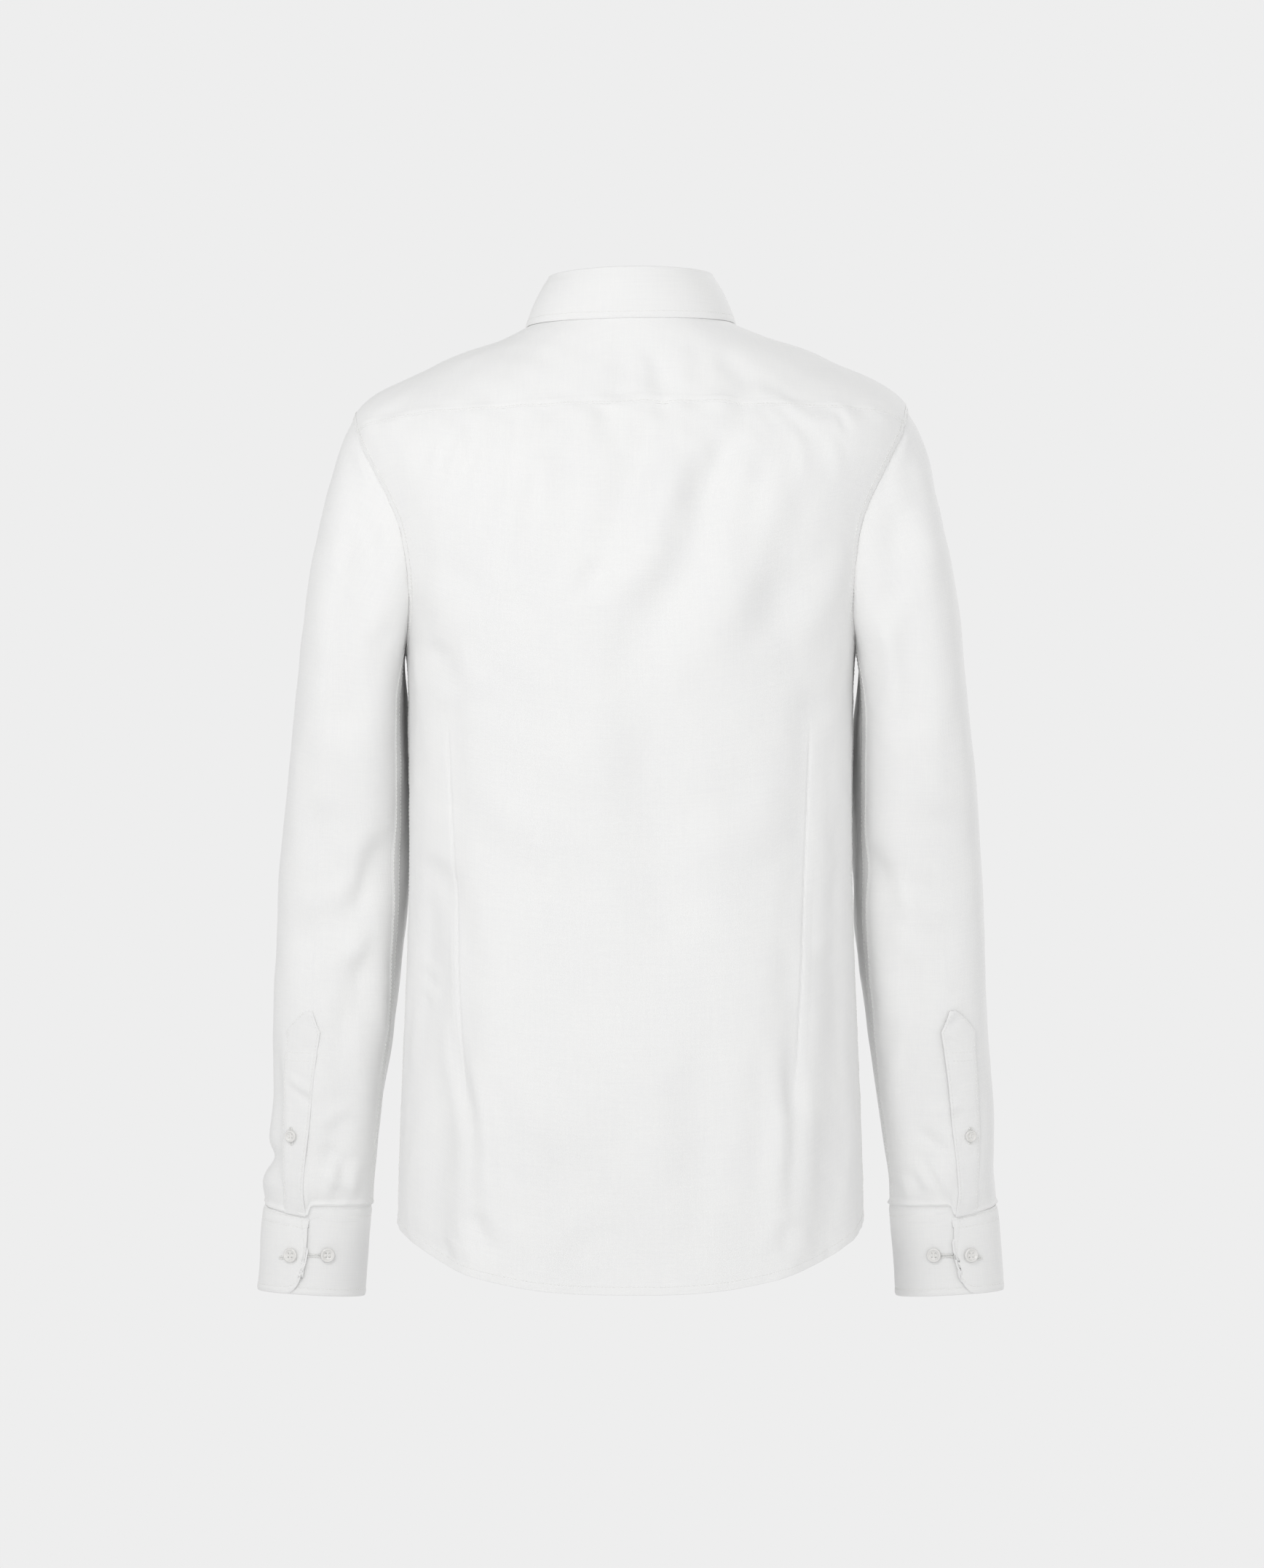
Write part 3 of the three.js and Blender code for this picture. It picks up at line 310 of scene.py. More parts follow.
# Creases of the left sleeve, and then of the right one as if it were a left one
LEFT_SLEEVE_BACK_CREASES = (
    ("armhole wedge", 201, -84, 188, -118, 9, -2.8, 0),
    ("armhole roll", 208, -92, 196, -150, 12, 1.8, 3),
    ("cap drag", 222, -136, 196, -190, 20, -1.6, 4),
    ("upper drag", 212, -198, 186, -262, 18, 1.5, 4),
    ("underarm drag", 184, -230, 196, -300, 16, -1.8, -3),
    ("outer edge roll", 252, -300, 262, -430, 14, 1.1, 2),
    ("elbow shade", 186, -390, 206, -476, 22, -2.0, -4),
    ("elbow ridge", 206, -420, 244, -452, 18, 1.7, 5),
    ("elbow ridge, lower", 200, -470, 236, -498, 16, 1.3, 4),
    ("inner forearm shade", 196, -470, 216, -560, 18, -1.8, -4),
    ("inner forearm roll", 218, -500, 210, -590, 14, 1.2, 3),
    ("outer edge crease", 270, -548, 272, -680, 8, -1.8, -2),
    ("placket wrinkle, upper", 262, -578, 246, -592, 6, 1.3, 0),
    ("placket wrinkle, lower", 258, -588, 244, -602, 6, -1.1, 0),
    ("cuff drag, outer", 240, -618, 214, -602, 10, 1.5, 3),
    ("cuff drag, inner", 238, -634, 216, -652, 9, -1.7, 2),
    ("cuff fold", 232, -672, 220, -632, 9, 2.0, 2),
    ("cuff fold, inner", 214, -674, 208, -640, 8, 1.6, 1),
    ("cuff swag", 236, -652, 206, -664, 9, 1.3, -3),
)
RIGHT_SLEEVE_BACK_CREASES = (
    ("armhole wedge", 204, -66, 193, -96, 10, -3.0, 0),
    ("armhole roll", 212, -80, 198, -140, 12, 1.8, 3),
    ("cap drag", 224, -128, 200, -186, 22, -1.4, 4),
    ("upper drag", 214, -206, 188, -276, 18, 1.3, 4),
    ("underarm drag", 182, -240, 190, -316, 16, -1.8, -3),
    ("outer edge roll", 250, -290, 260, -410, 14, 1.0, 2),
    ("elbow shade", 184, -400, 196, -500, 18, -1.7, -4),
    ("elbow ridge", 204, -436, 246, -458, 18, 1.5, 5),
    ("inner forearm roll", 214, -520, 206, -610, 14, 1.3, 3),
    ("placket pull", 240, -536, 256, -520, 7, 1.2, 0),
    ("placket pull, lower", 240, -548, 258, -560, 7, -1.0, 0),
    ("cuff drag, outer", 256, -600, 236, -612, 9, 1.5, 2),
    ("cuff drag, inner", 246, -640, 218, -622, 9, -1.7, 3),
    ("cuff fold", 246, -672, 226, -640, 9, 2.1, 3),
    ("cuff fold, middle", 230, -668, 214, -644, 8, 1.7, 2),
    ("cuff fold, inner", 214, -674, 206, -654, 8, 1.5, 1),
)
SLEEVE_FRONT_CREASES = (
    ("cap drag", 206, -110, 222, -176, 18, 1.6, 3),
    ("underarm drag", 182, -246, 214, -290, 16, -2.0, 4),
    ("underarm ridge", 186, -268, 222, -318, 14, 1.7, 4),
    ("elbow tuck, upper", 184, -392, 226, -376, 12, 1.8, 4),
    ("elbow tuck, middle", 186, -416, 238, -424, 12, -2.0, 4),
    ("elbow tuck, ridge", 190, -440, 242, -430, 12, 2.0, 4),
    ("elbow tuck, lower", 194, -466, 240, -476, 12, 1.6, 4),
    ("forearm drape", 232, -510, 222, -610, 20, -1.7, 4),
    ("forearm roll", 256, -500, 250, -600, 18, 1.4, 3),
    ("cuff fold", 250, -674, 240, -630, 9, 1.8, 2),
    ("cuff fold, inner", 226, -674, 222, -636, 9, 1.6, 1),
    ("cuff fold, outer", 268, -674, 262, -640, 8, 1.4, 1),
)
SIDES = (
    ("left", False, LEFT_SLEEVE_BACK_CREASES),
    ("right", True, RIGHT_SLEEVE_BACK_CREASES),
)
CREASE_STRENGTH_WIDTHS = (11.0, 24.0)  # a wide crease is made stronger than a narrow one
CREASE_STRENGTHS = (1.0, 2.2)
CREASE_WANDER = 1.6  # how far a crease strays from its line
CREASE_WANDER_LENGTH = 17.0
CREASE_HALF_WIDTH = 0.42  # of the stated width, where a crease starts
CREASE_WIDENING = 0.22  # of the stated width, what is added by its end
CREASE_FADE_IN = (-0.12, 0.25)  # shares of a crease's line
CREASE_FADE_OUT = (0.55, 1.12)
DIP_AWAY = 1.9  # half widths between a crest and the shallow dips beside it
DIP_HALF_WIDTH = 0.8
DIP_DEPTH = 0.28  # of the crest's height
SIDE_FADE = 2.5  # how soon the folds of the body fade towards its side seams
SLEEVE_SIDE_FADE = 2.0

# The unevenness of pressed cloth
WAVE_SPREAD = (0.7, 1.6)  # shortest and longest wave, as shares of the pitch
RIPPLE_HEIGHT = 0.5
RIPPLE_BEND = 14.0
RIPPLE_BEND_PITCH = 130.0
LONG_RIPPLE = 1.5
LONG_RIPPLE_PITCH = 95.0
SHORT_RIPPLE = 0.4
SHORT_RIPPLE_PITCH = 30.0
RIPPLE_FADE = 30.0  # from a seam to where the ripples are at their full height
CLOTH_SEED = 10  # the yoke's ripples run on into the back's, so they share this one

# Darts of the back: x and z of both ends
DARTS = ((138.0, -300.0, 126.0, -600.0), (-136.0, -300.0, -125.0, -596.0))
DART_DEPTH = 1.0
DART_HALF_WIDTH = 0.9
DART_FOLD = 0.4
DART_FOLD_START = (0.2, 1.2)  # from the dart's line to the two edges of the fold pressed beside it
DART_FOLD_END = (5.0, 8.0)
DART_FADE_IN = 0.12  # shares of the dart's length
DART_FADE_OUT = 0.86

# Sewing, in millimetres
STITCH_PITCH = 3.0
STITCH_LENGTH = 2.3
STITCH_RADIUS = 0.23
STITCH_STANDS = 0.25  # of its radius, how far a stitch stands out of the cloth
BEAD_SIDES = 5
BUTTONHOLE_PITCH = 0.75
BUTTONHOLE_HALF_WIDTH = 0.95
BUTTONHOLE_BAR_HALF = 1.1
BUTTONHOLE_BAR_OUT = 0.3
BUTTONHOLE_STITCH = 1.4
BUTTONHOLE_THREAD = 0.36
BUTTONHOLE_STANDS = 0.02
BUTTONHOLE_LIFT = 0.25  # above the cloth that is worked out without its ripples
FOLD_EASE = (-0.6, 0.9)  # the step at the end of the cloth that is folded under
HEM_WIDTH = 7.0
HEM_STITCH_IN = 6.0
EDGE_STITCH_IN = 5.0  # on cuffs and collar


def radians(degrees):
    return np.radians(degrees)


def mix(start, end, share):
    return start + (end - start) * share


def ease(value, start, end):
    share = np.clip((value - start) / (end - start), 0.0, 1.0)
    return share * share * (3.0 - 2.0 * share)


def signed_power(value, exponent):
    return np.sign(value) * np.abs(value) ** exponent


def unit(vectors):
    return vectors / np.maximum(np.linalg.norm(vectors, axis=-1, keepdims=True), 1e-9)


def points_of(x, y, z):
    return np.stack(np.broadcast_arrays(x, y, z), axis=-1).astype(float)


def table_of(names, rows):
    return {name: np.array([row[i + 1] for row in rows], float) for i, name in enumerate(names)}


BODY = table_of(BODY_COLUMNS, BODY_RINGS)
SLEEVE = table_of(SLEEVE_COLUMNS, SLEEVE_RINGS)


def smooth_through(values, at):
    """The values at places between them, on a smooth curve through all of them."""
    values = np.asarray(values, float)
    at = np.asarray(at, float)
    last = len(values) - 1
    low = np.clip(np.floor(at).astype(int), 0, last - 1)
    t = at - low
    b = values[low]
    c = values[low + 1]
    a = np.where(low > 0, values[np.maximum(low - 1, 0)], 2 * b - c)
    d = np.where(low < last - 1, values[np.minimum(low + 2, last)], 2 * c - b)
    cubic = (3 * b - a - 3 * c + d) * t ** 3
    return 0.5 * (2 * b + (c - a) * t + (2 * a - 5 * b + 4 * c - d) * t * t + cubic)


def large_folds(rows, x, z):
    """How far the folds that the solids have lift the cloth."""
    height = np.zeros(np.shape(x))
    for _, from_x, from_z, to_x, to_z, wide, high in rows:
        run_x = to_x - from_x
        run_z = to_z - from_z
        share = ((x - from_x) * run_x + (z - from_z) * run_z) / (run_x ** 2 + run_z ** 2)
        share = np.clip(share, 0, 1)
        away = np.hypot(x - from_x - share * run_x, z - from_z - share * run_z)
        height += high * np.exp(-((away / (wide / 2)) ** 2))
    return height


def creases(rows, x, z):
    """Finer creases: each fades in and out along its line, and has a shallow dip on both sides."""
    x = x + CREASE_WANDER * np.sin(z / CREASE_WANDER_LENGTH)
    height = np.zeros(np.shape(x))
    for _, from_x, from_z, to_x, to_z, wide, high, bend in rows:
        run_x = to_x - from_x
        run_z = to_z - from_z
        length = math.hypot(run_x, run_z)
        share = ((x - from_x) * run_x + (z - from_z) * run_z) / length ** 2
        side = ((x - from_x) * run_z - (z - from_z) * run_x) / length
        side = side - bend * 4 * share * (1 - share)
        half = wide * (CREASE_HALF_WIDTH + CREASE_WIDENING * np.clip(share, 0, 1))
        strength = np.interp(wide, CREASE_STRENGTH_WIDTHS, CREASE_STRENGTHS)
        crest = np.exp(-((side / half) ** 2))
        dips = np.exp(-(((np.abs(side) - DIP_AWAY * half) / (DIP_HALF_WIDTH * half)) ** 2))
        along = ease(share, *CREASE_FADE_IN) * (1 - ease(share, *CREASE_FADE_OUT))
        height += strength * high * (crest - DIP_DEPTH * dips) * along
    return height


def ripples(points, seed, pitch, stretch=(1.0, 1.0, 1.0), waves=14):
    """Uneven waves through space, of about this pitch, from -1 to 1."""
    chance = np.random.default_rng(SEED + seed)
    total = np.zeros(points.shape[:-1])
    for _ in range(waves):
        direction = chance.normal(size=3) * np.array(stretch)
        direction /= np.linalg.norm(direction)
        wave = 2 * math.pi / (pitch * chance.uniform(*WAVE_SPREAD))
        total += np.sin(points @ (direction * wave) + chance.uniform(0, 2 * math.pi))
    usual = math.sqrt(waves * 0.5)  # what so many sine waves come to together
    return total / usual * RIPPLE_HEIGHT


def cloth_ripples(points, seed):
    """Long hanging waves, and small ones between them."""
    bent = points + RIPPLE_BEND * ripples(points, seed + 50, RIPPLE_BEND_PITCH)[..., None]
    long_waves = LONG_RIPPLE * ripples(bent, seed, LONG_RIPPLE_PITCH, stretch=(1.0, 1.0, 0.3))
    short_waves = SHORT_RIPPLE * ripples(bent, seed + 1, SHORT_RIPPLE_PITCH, stretch=(1.0, 1.0, 0.6))
    return long_waves + short_waves


def settled(points):
    """The whole shirt settles a little towards its lower left shoulder."""
    placed = points.copy()
    placed[..., 2] -= SHOULDER_TILT * points[..., 0] * ease(points[..., 2], TILT_NONE_Z, TILT_FULL_Z)
    return placed


def normal_of(surface, u, v, step_u, step_v):
    """Which way a surface faces at a place."""
    du = surface(u + step_u, v) - surface(u - step_u, v)
    dv = surface(u, v + step_v) - surface(u, v - step_v)
    return unit(np.cross(dv, du))


def body_base(turn, level):
    """The body's surface without folds. Turn is in degrees: 0 is the back's middle and 180 the front's."""
    side = np.sin(radians(turn))
    middle = np.cos(radians(turn))
    is_back = middle >= 0
    exponent = 2 / smooth_through(BODY["square"], level)
    share = np.abs(middle) ** smooth_through(BODY["drop"], level)
    back_y = smooth_through(BODY["back_y"], level)
    front_y = smooth_through(BODY["front_y"], level)
    back_z = smooth_through(BODY["back_z"], level)
    front_z = smooth_through(BODY["front_z"], level)
    middle_z = np.where(is_back, back_z, front_z)
    return points_of(
        smooth_through(BODY["side_x"], level) * signed_power(side, exponent),
        np.where(is_back, back_y, front_y) * np.abs(middle) ** exponent,
        mix(smooth_through(BODY["side_z"], level), middle_z, share),
    )


def body_normal(turn, level):
    return normal_of(body_base, turn, level, TURN_STEP, ROW_STEP)


def off_side_seams(turn):
    """1 over most of the back and front, and down to 0 at the side seams."""
    return np.minimum(1, np.abs(np.cos(radians(turn))) * SIDE_FADE)


def body_fold_height(turn, base):
    x = base[..., 0]
    z = base[..., 2]
    back = large_folds(LARGE_BACK_FOLDS, x, z)
    front = large_folds(LARGE_FRONT_FOLDS, x, z)
    return np.where(np.cos(radians(turn)) >= 0, back, front) * off_side_seams(turn)


def body_point(turn, level, lift=0.0):
    base = body_base(turn, level)
    height = body_fold_height(turn, base) + lift
    return base + body_normal(turn, level) * np.asarray(height)[..., None]


def armhole(turn):
    """Turn and level on the body of a place round the armhole: 0 is the underarm and 90 the back."""
    across = np.sin(radians(turn))
    reach = np.where(across > 0, ARMHOLE_REACH_BACK, ARMHOLE_REACH_FRONT)
    return 90 - reach * across, ARMHOLE_LEVEL - np.cos(radians(turn))


YOKE_CORNER_TURN = float(armhole(YOKE_END)[0])
YOKE_CORNER_LEVEL = float(armhole(YOKE_END)[1])
YOKE_FRONT_TURN = float(armhole(360 - YOKE_END)[0])


def front_edge(level, overlap=FRONT_OVERLAP):
    """Degrees from the front's centre line to its free edge."""
    share = overlap / smooth_through(BODY["side_x"], level)
    return np.degrees(np.arcsin(share ** (smooth_through(BODY["square"], level) / 2)))


def overlap_lift(x):
    return FRONT_LIFT * (1 - ease(x, LIFT_FULL_X, LIFT_GONE_X))


# Grids and walls

def spaced(length, step=GRID_STEP, start=True, end=True):
    """Shares along a length, close together near its ends, where the sewing is."""
    marks = [mark for mark in EDGE_MARKS if mark < EDGE_MARKS_REACH * length]
    low = marks if start else [0.0]
    high = marks if end else [0.0]
    count = max(2, round((length - low[-1] - high[-1]) / step))
    middle = np.linspace(low[-1], length - high[-1], count + 1)
    places = [*low[:-1], *middle, *(length - mark for mark in reversed(high[:-1]))]
    return np.array(places) / length


def joined_marks(marks, extra, closest):
    """The marks with others put in, and none of the old ones too close to a new one."""
    kept = [mark for mark in marks if np.min(np.abs(extra - mark)) > closest]
    return np.sort(np.concatenate([kept, extra]))


def grid_normals(grid, closed=False):
    """Which way each point of a panel faces; a closed one runs all the way round."""
    if closed:
        across = np.roll(grid, -1, axis=1) - np.roll(grid, 1, axis=1)
    else:
        across = np.gradient(grid, axis=1)
    return unit(np.cross(np.gradient(grid, axis=0), across))


def raised(grid, height, closed=False):
    """The panel's points, lifted off its surface by a height at each."""
    return grid + grid_normals(grid, closed) * height[..., None]


def edge_distances(grid):
    """Millimetres along the cloth from each edge of a panel to each of its points."""
    across = np.linalg.norm(np.diff(grid, axis=1), axis=2)
    up = np.linalg.norm(np.diff(grid, axis=0), axis=2)
    left = np.concatenate([np.zeros((grid.shape[0], 1)), np.cumsum(across, axis=1)], axis=1)
    bottom = np.concatenate([np.zeros((1, grid.shape[1])), np.cumsum(up, axis=0)], axis=0)
    return {
        "left": left,
        "right": left[:, -1:] - left,
        "bottom": bottom,
        "top": bottom[-1:, :] - bottom,
    }


def line_at(grid, distances, edge, inset):
    """The line on a panel that keeps a distance from one of its edges, with the normals along it."""
    both = np.concatenate([grid, grid_normals(grid)], axis=2)
    away = distances[edge]
    if edge in ("bottom", "top"):
        both = both.swapaxes(0, 1)
        away = away.T
    line = []
    for values, place in zip(both, away):
        order = np.argsort(place)
        line.append([np.interp(inset, place[order], values[order, k]) for k in range(6)])
    line = np.array(line)
    return line[:, :3], unit(line[:, 3:])


def boundary(rows, cols, closed):
    """Edge loops of a grid, each place with the one inside it."""
    bottom = [(0, c, 1, c) for c in range(cols)]
    top = [(rows - 1, c, rows - 2, c) for c in reversed(range(cols))]
    if closed:
        return [bottom, top]
    right = [(r, cols - 1, r, cols - 2) for r in range(1, rows - 1)]
    left = [(r, 0, r, 1) for r in reversed(range(1, rows - 1))]
    bottom[0] = (0, 0, 1, 1)
    bottom[-1] = (0, cols - 1, 1, cols - 2)
    top[0] = (rows - 1, cols - 1, rows - 2, cols - 2)
    top[-1] = (rows - 1, 0, rows - 2, 1)
    return [bottom + right + top + left]


def make_object(name, points, faces, materials, cloth=None, face_materials=None):
    """An object from points in millimetres; cloth says where each point is on the flat cloth."""
    mesh = bpy.data.meshes.new(name)
    mesh.from_pydata((points * MM).tolist(), [], [list(face) for face in faces])
    for material in materials:
        mesh.materials.append(material)
    if cloth is not None:
        corners = np.empty(len(mesh.loops), dtype=np.int32)
        mesh.loops.foreach_get("vertex_index", corners)
        layer = mesh.uv_layers.new(name="cloth")
        layer.data.foreach_set("uv", (cloth[corners] * MM).astype(np.float32).ravel())
    mesh.polygons.foreach_set("use_smooth", np.ones(len(mesh.polygons), dtype=bool))
    if face_materials is not None:
        mesh.polygons.foreach_set("material_index", np.asarray(face_materials, dtype=np.int32))
    mesh.update()
    made = bpy.data.objects.new(name, mesh)
    bpy.context.scene.collection.objects.link(made)
    return made


def make_wall(name, outer, thickness, material, closed=False, mirrored=False, rim_steps=3):
    """A sheet of cloth with both its faces and rounded edges, from a grid of points on its outer face."""
    rows, cols = outer.shape[:2]
    normals = grid_normals(outer, closed)
    inner = outer - normals * thickness
    away = edge_distances(outer)
    cloth = np.stack([away["left"] - away["left"][:, cols // 2:cols // 2 + 1], away["bottom"]], axis=2)
    index = np.arange(rows * cols).reshape(rows, cols)
    if closed:
        index = np.concatenate([index, index[:, :1]], axis=1)
    low_left = index[:-1, :-1].ravel()
    high_left = index[1:, :-1].ravel()
    high_right = index[1:, 1:].ravel()
    low_right = index[:-1, 1:].ravel()
    outside = np.stack([low_left, high_left, high_right, low_right], axis=1)
    inside = np.stack([low_left, low_right, high_right, high_left], axis=1) + rows * cols
    points = [outer.reshape(-1, 3), inner.reshape(-1, 3)]
    coordinates = [cloth.reshape(-1, 2), cloth.reshape(-1, 2)]
    faces = [outside, inside]
    count = 2 * rows * cols
    for loop in boundary(rows, cols, closed):
        r, c, r_in, c_in = np.array(loop).T
        normal = normals[r, c]
        out = outer[r, c] - outer[r_in, c_in]
        out = unit(out - normal * np.sum(out * normal, axis=1, keepdims=True))
        middle = (outer[r, c] + inner[r, c]) / 2
        rings = [r * cols + c]
        for step in range(1, rim_steps + 1):
            angle = math.pi * step / (rim_steps + 1)
            ring = middle + thickness / 2 * (math.cos(angle) * normal + math.sin(angle) * out)
            points.append(ring)
            coordinates.append(cloth[r, c])
            rings.append(np.arange(len(loop)) + count)
            count += len(loop)
        rings.append(r * cols + c + rows * cols)
        for near, far in zip(rings, rings[1:]):
            ahead = np.roll(near, -1)
            far_ahead = np.roll(far, -1)
            faces.append(np.stack([near, ahead, far_ahead, far], axis=1))
    points = np.concatenate(points)
    faces = np.concatenate(faces)
    if mirrored:
        points = points * MIRRORED
        faces = faces[:, ::-1]
    return make_object(name, settled(points), faces.tolist(), [material], np.concatenate(coordinates))


# Sewing

def stitch_relief(distance, at, depth=0.22, wide=0.9):
    """The dent that a row of stitches pulls into the cloth."""
    return -depth * np.exp(-(((distance - at) / wide) ** 2))


def turned_edge(distance, width, rise):
    """Cloth that stands higher over the allowance folded under it."""
    return rise * (1 - ease(distance, width + FOLD_EASE[0], width + FOLD_EASE[1]))


def rolled_edge(distance, drop, reach):
    """How far the cloth rolls down at its very edge."""
    return drop * (1 - ease(distance, 0.0, reach))


def seam_pucker(grid, distance, seed, high=0.35, reach=11.0, pitch=11.0):
    """Small puckers along a seam, strongest at the stitches."""
    return high * ripples(grid, seed, pitch, stretch=(1.0, 1.0, 0.8)) * np.exp(-((distance / reach) ** 2))


def yoke_seam_pucker(grid, distance, reach):
    """The yoke and the back are puckered together where they are sewn."""
    return seam_pucker(grid, distance, 14, high=0.9, reach=reach, pitch=20)


def bead_template():
    """One stitch: a short thread that dips into the cloth at both ends."""
    rings = ((-0.5, 0.45, -0.5), (-0.28, 1.0, 0.25), (0.28, 1.0, 0.25), (0.5, 0.45, -0.5))
    points = []
    for along, girth, rise in rings:
        for side in range(BEAD_SIDES):
            angle = 2 * math.pi * side / BEAD_SIDES
            points.append((along, girth * math.cos(angle), girth * math.sin(angle) + rise))
    faces = []
    for ring in range(len(rings) - 1):
        for side in range(BEAD_SIDES):
            a = ring * BEAD_SIDES + side
            b = ring * BEAD_SIDES + (side + 1) % BEAD_SIDES
            faces.append((a, b, b + BEAD_SIDES, a + BEAD_SIDES))
    return np.array(points), np.array(faces)


BEAD_POINTS, BEAD_FACES = bead_template()


def beads(centres, directions, normals, length, radius):
    """Points and faces of many stitches."""
    ahead = unit(directions)
    up = unit(normals - ahead * np.sum(normals * ahead, axis=1, keepdims=True))
    aside = np.cross(up, ahead)
    template = BEAD_POINTS * np.array([length, radius, radius])
    points = centres[:, None, :]
    points = points + template[None, :, 0:1] * ahead[:, None, :]
    points = points + template[None, :, 1:2] * aside[:, None, :]
    points = points + template[None, :, 2:3] * up[:, None, :]
    faces = BEAD_FACES[None] + (np.arange(len(centres)) * len(BEAD_POINTS))[:, None, None]
    return points.reshape(-1, 3), faces.reshape(-1, 4)


def stitch_line(points, normals):
    """A row of stitches along a line on the cloth."""
    lengths = np.concatenate([[0], np.cumsum(np.linalg.norm(np.diff(points, axis=0), axis=1))])
    count = int((lengths[-1] - STITCH_PITCH) / STITCH_PITCH)
    at = (np.arange(count) + 0.5) * STITCH_PITCH + (lengths[-1] - count * STITCH_PITCH) / 2

    def place(values, where):
        return np.stack([np.interp(where, lengths, values[:, k]) for k in range(3)], axis=1)

    up = place(normals, at)
    centres = place(points, at) + up * STITCH_RADIUS * STITCH_STANDS
    directions = place(points, at + STITCH_PITCH / 3) - place(points, at - STITCH_PITCH / 3)
    return beads(centres, directions, up, STITCH_LENGTH, STITCH_RADIUS)


def stitched_edges(grid, *edges):
    """A row of stitches along each of these edges of a panel, so many millimetres in."""
    away = edge_distances(grid)
    return [stitch_line(*line_at(grid, away, edge, inset)) for edge, inset in edges]


def sewn_object(name, parts, material, mirrored=False):
    """All the stitches of a panel as one piece."""
    points = []
    faces = []
    count = 0
    for part_points, part_faces in parts:
        points.append(part_points)
        faces.append(part_faces + count)
        count += len(part_points)
    points = np.concatenate(points)
    faces = np.concatenate(faces)
    if mirrored:
        points = points * MIRRORED
        faces = faces[:, ::-1]
    cloth = points[:, [0, 2]]
    made = make_object(name, settled(points), faces.tolist(), [material], cloth)
    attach(made, "root")


def buttonhole(centre, normal, direction, length):
    """Close stitches on both sides of a slit and across its ends."""
    normal = unit(normal)
    along = unit(direction - normal * np.dot(direction, normal))
    aside = np.cross(normal, along)
    count = int(length / BUTTONHOLE_PITCH)
    places = (np.arange(count) + 0.5) * BUTTONHOLE_PITCH - length / 2
    across = np.linspace(-BUTTONHOLE_BAR_HALF, BUTTONHOLE_BAR_HALF, 4)
    centres = []
    directions = []
    for side in (-1, 1):
        centres.append(centre + places[:, None] * along + side * BUTTONHOLE_HALF_WIDTH * aside)
        directions.append(np.tile(aside, (count, 1)))
    for end in (-1, 1):
        bar = centre + end * (length / 2 + BUTTONHOLE_BAR_OUT) * along
        centres.append(bar + across[:, None] * aside)
        directions.append(np.tile(along, (len(across), 1)))
    centres = np.concatenate(centres) + normal * BUTTONHOLE_STANDS
    directions = np.concatenate(directions)
    up = np.tile(normal, (len(centres), 1))
    return beads(centres, directions, up, BUTTONHOLE_STITCH, BUTTONHOLE_THREAD)


# Materials

MIX_FROM = 6  # the sockets of a Mix node that hold its colours
MIX_TO = 7
MIX_RESULT = 2


def linear(colour):
    """A hex colour in sRGB as linear red, green, blue and full opacity."""
    channels = [int(colour[i:i + 2], 16) / 255 for i in (0, 2, 4)]
    return (*[c / 12.92 if c <= 0.04045 else ((c + 0.055) / 1.055) ** 2.4 for c in channels], 1.0)


def add_node(tree, kind, settings=None, sockets=None):
    """A node with its settings, and its sockets set to values or linked to other nodes' sockets."""
    made = tree.nodes.new(kind)
    for name, value in (settings or {}).items():
        setattr(made, name, value)
    for name, value in (sockets or {}).items():
        if isinstance(value, bpy.types.NodeSocket):
            tree.links.new(value, made.inputs[name])
        else:
            made.inputs[name].default_value = value
    return made


def new_material(name):
    made = bpy.data.materials.new(name)
    made.use_nodes = True
    made.node_tree.nodes.clear()
    return made, made.node_tree


def finish_material(tree, surface):
    add_node(tree, "ShaderNodeOutputMaterial", sockets={"Surface": surface.outputs["BSDF"]})


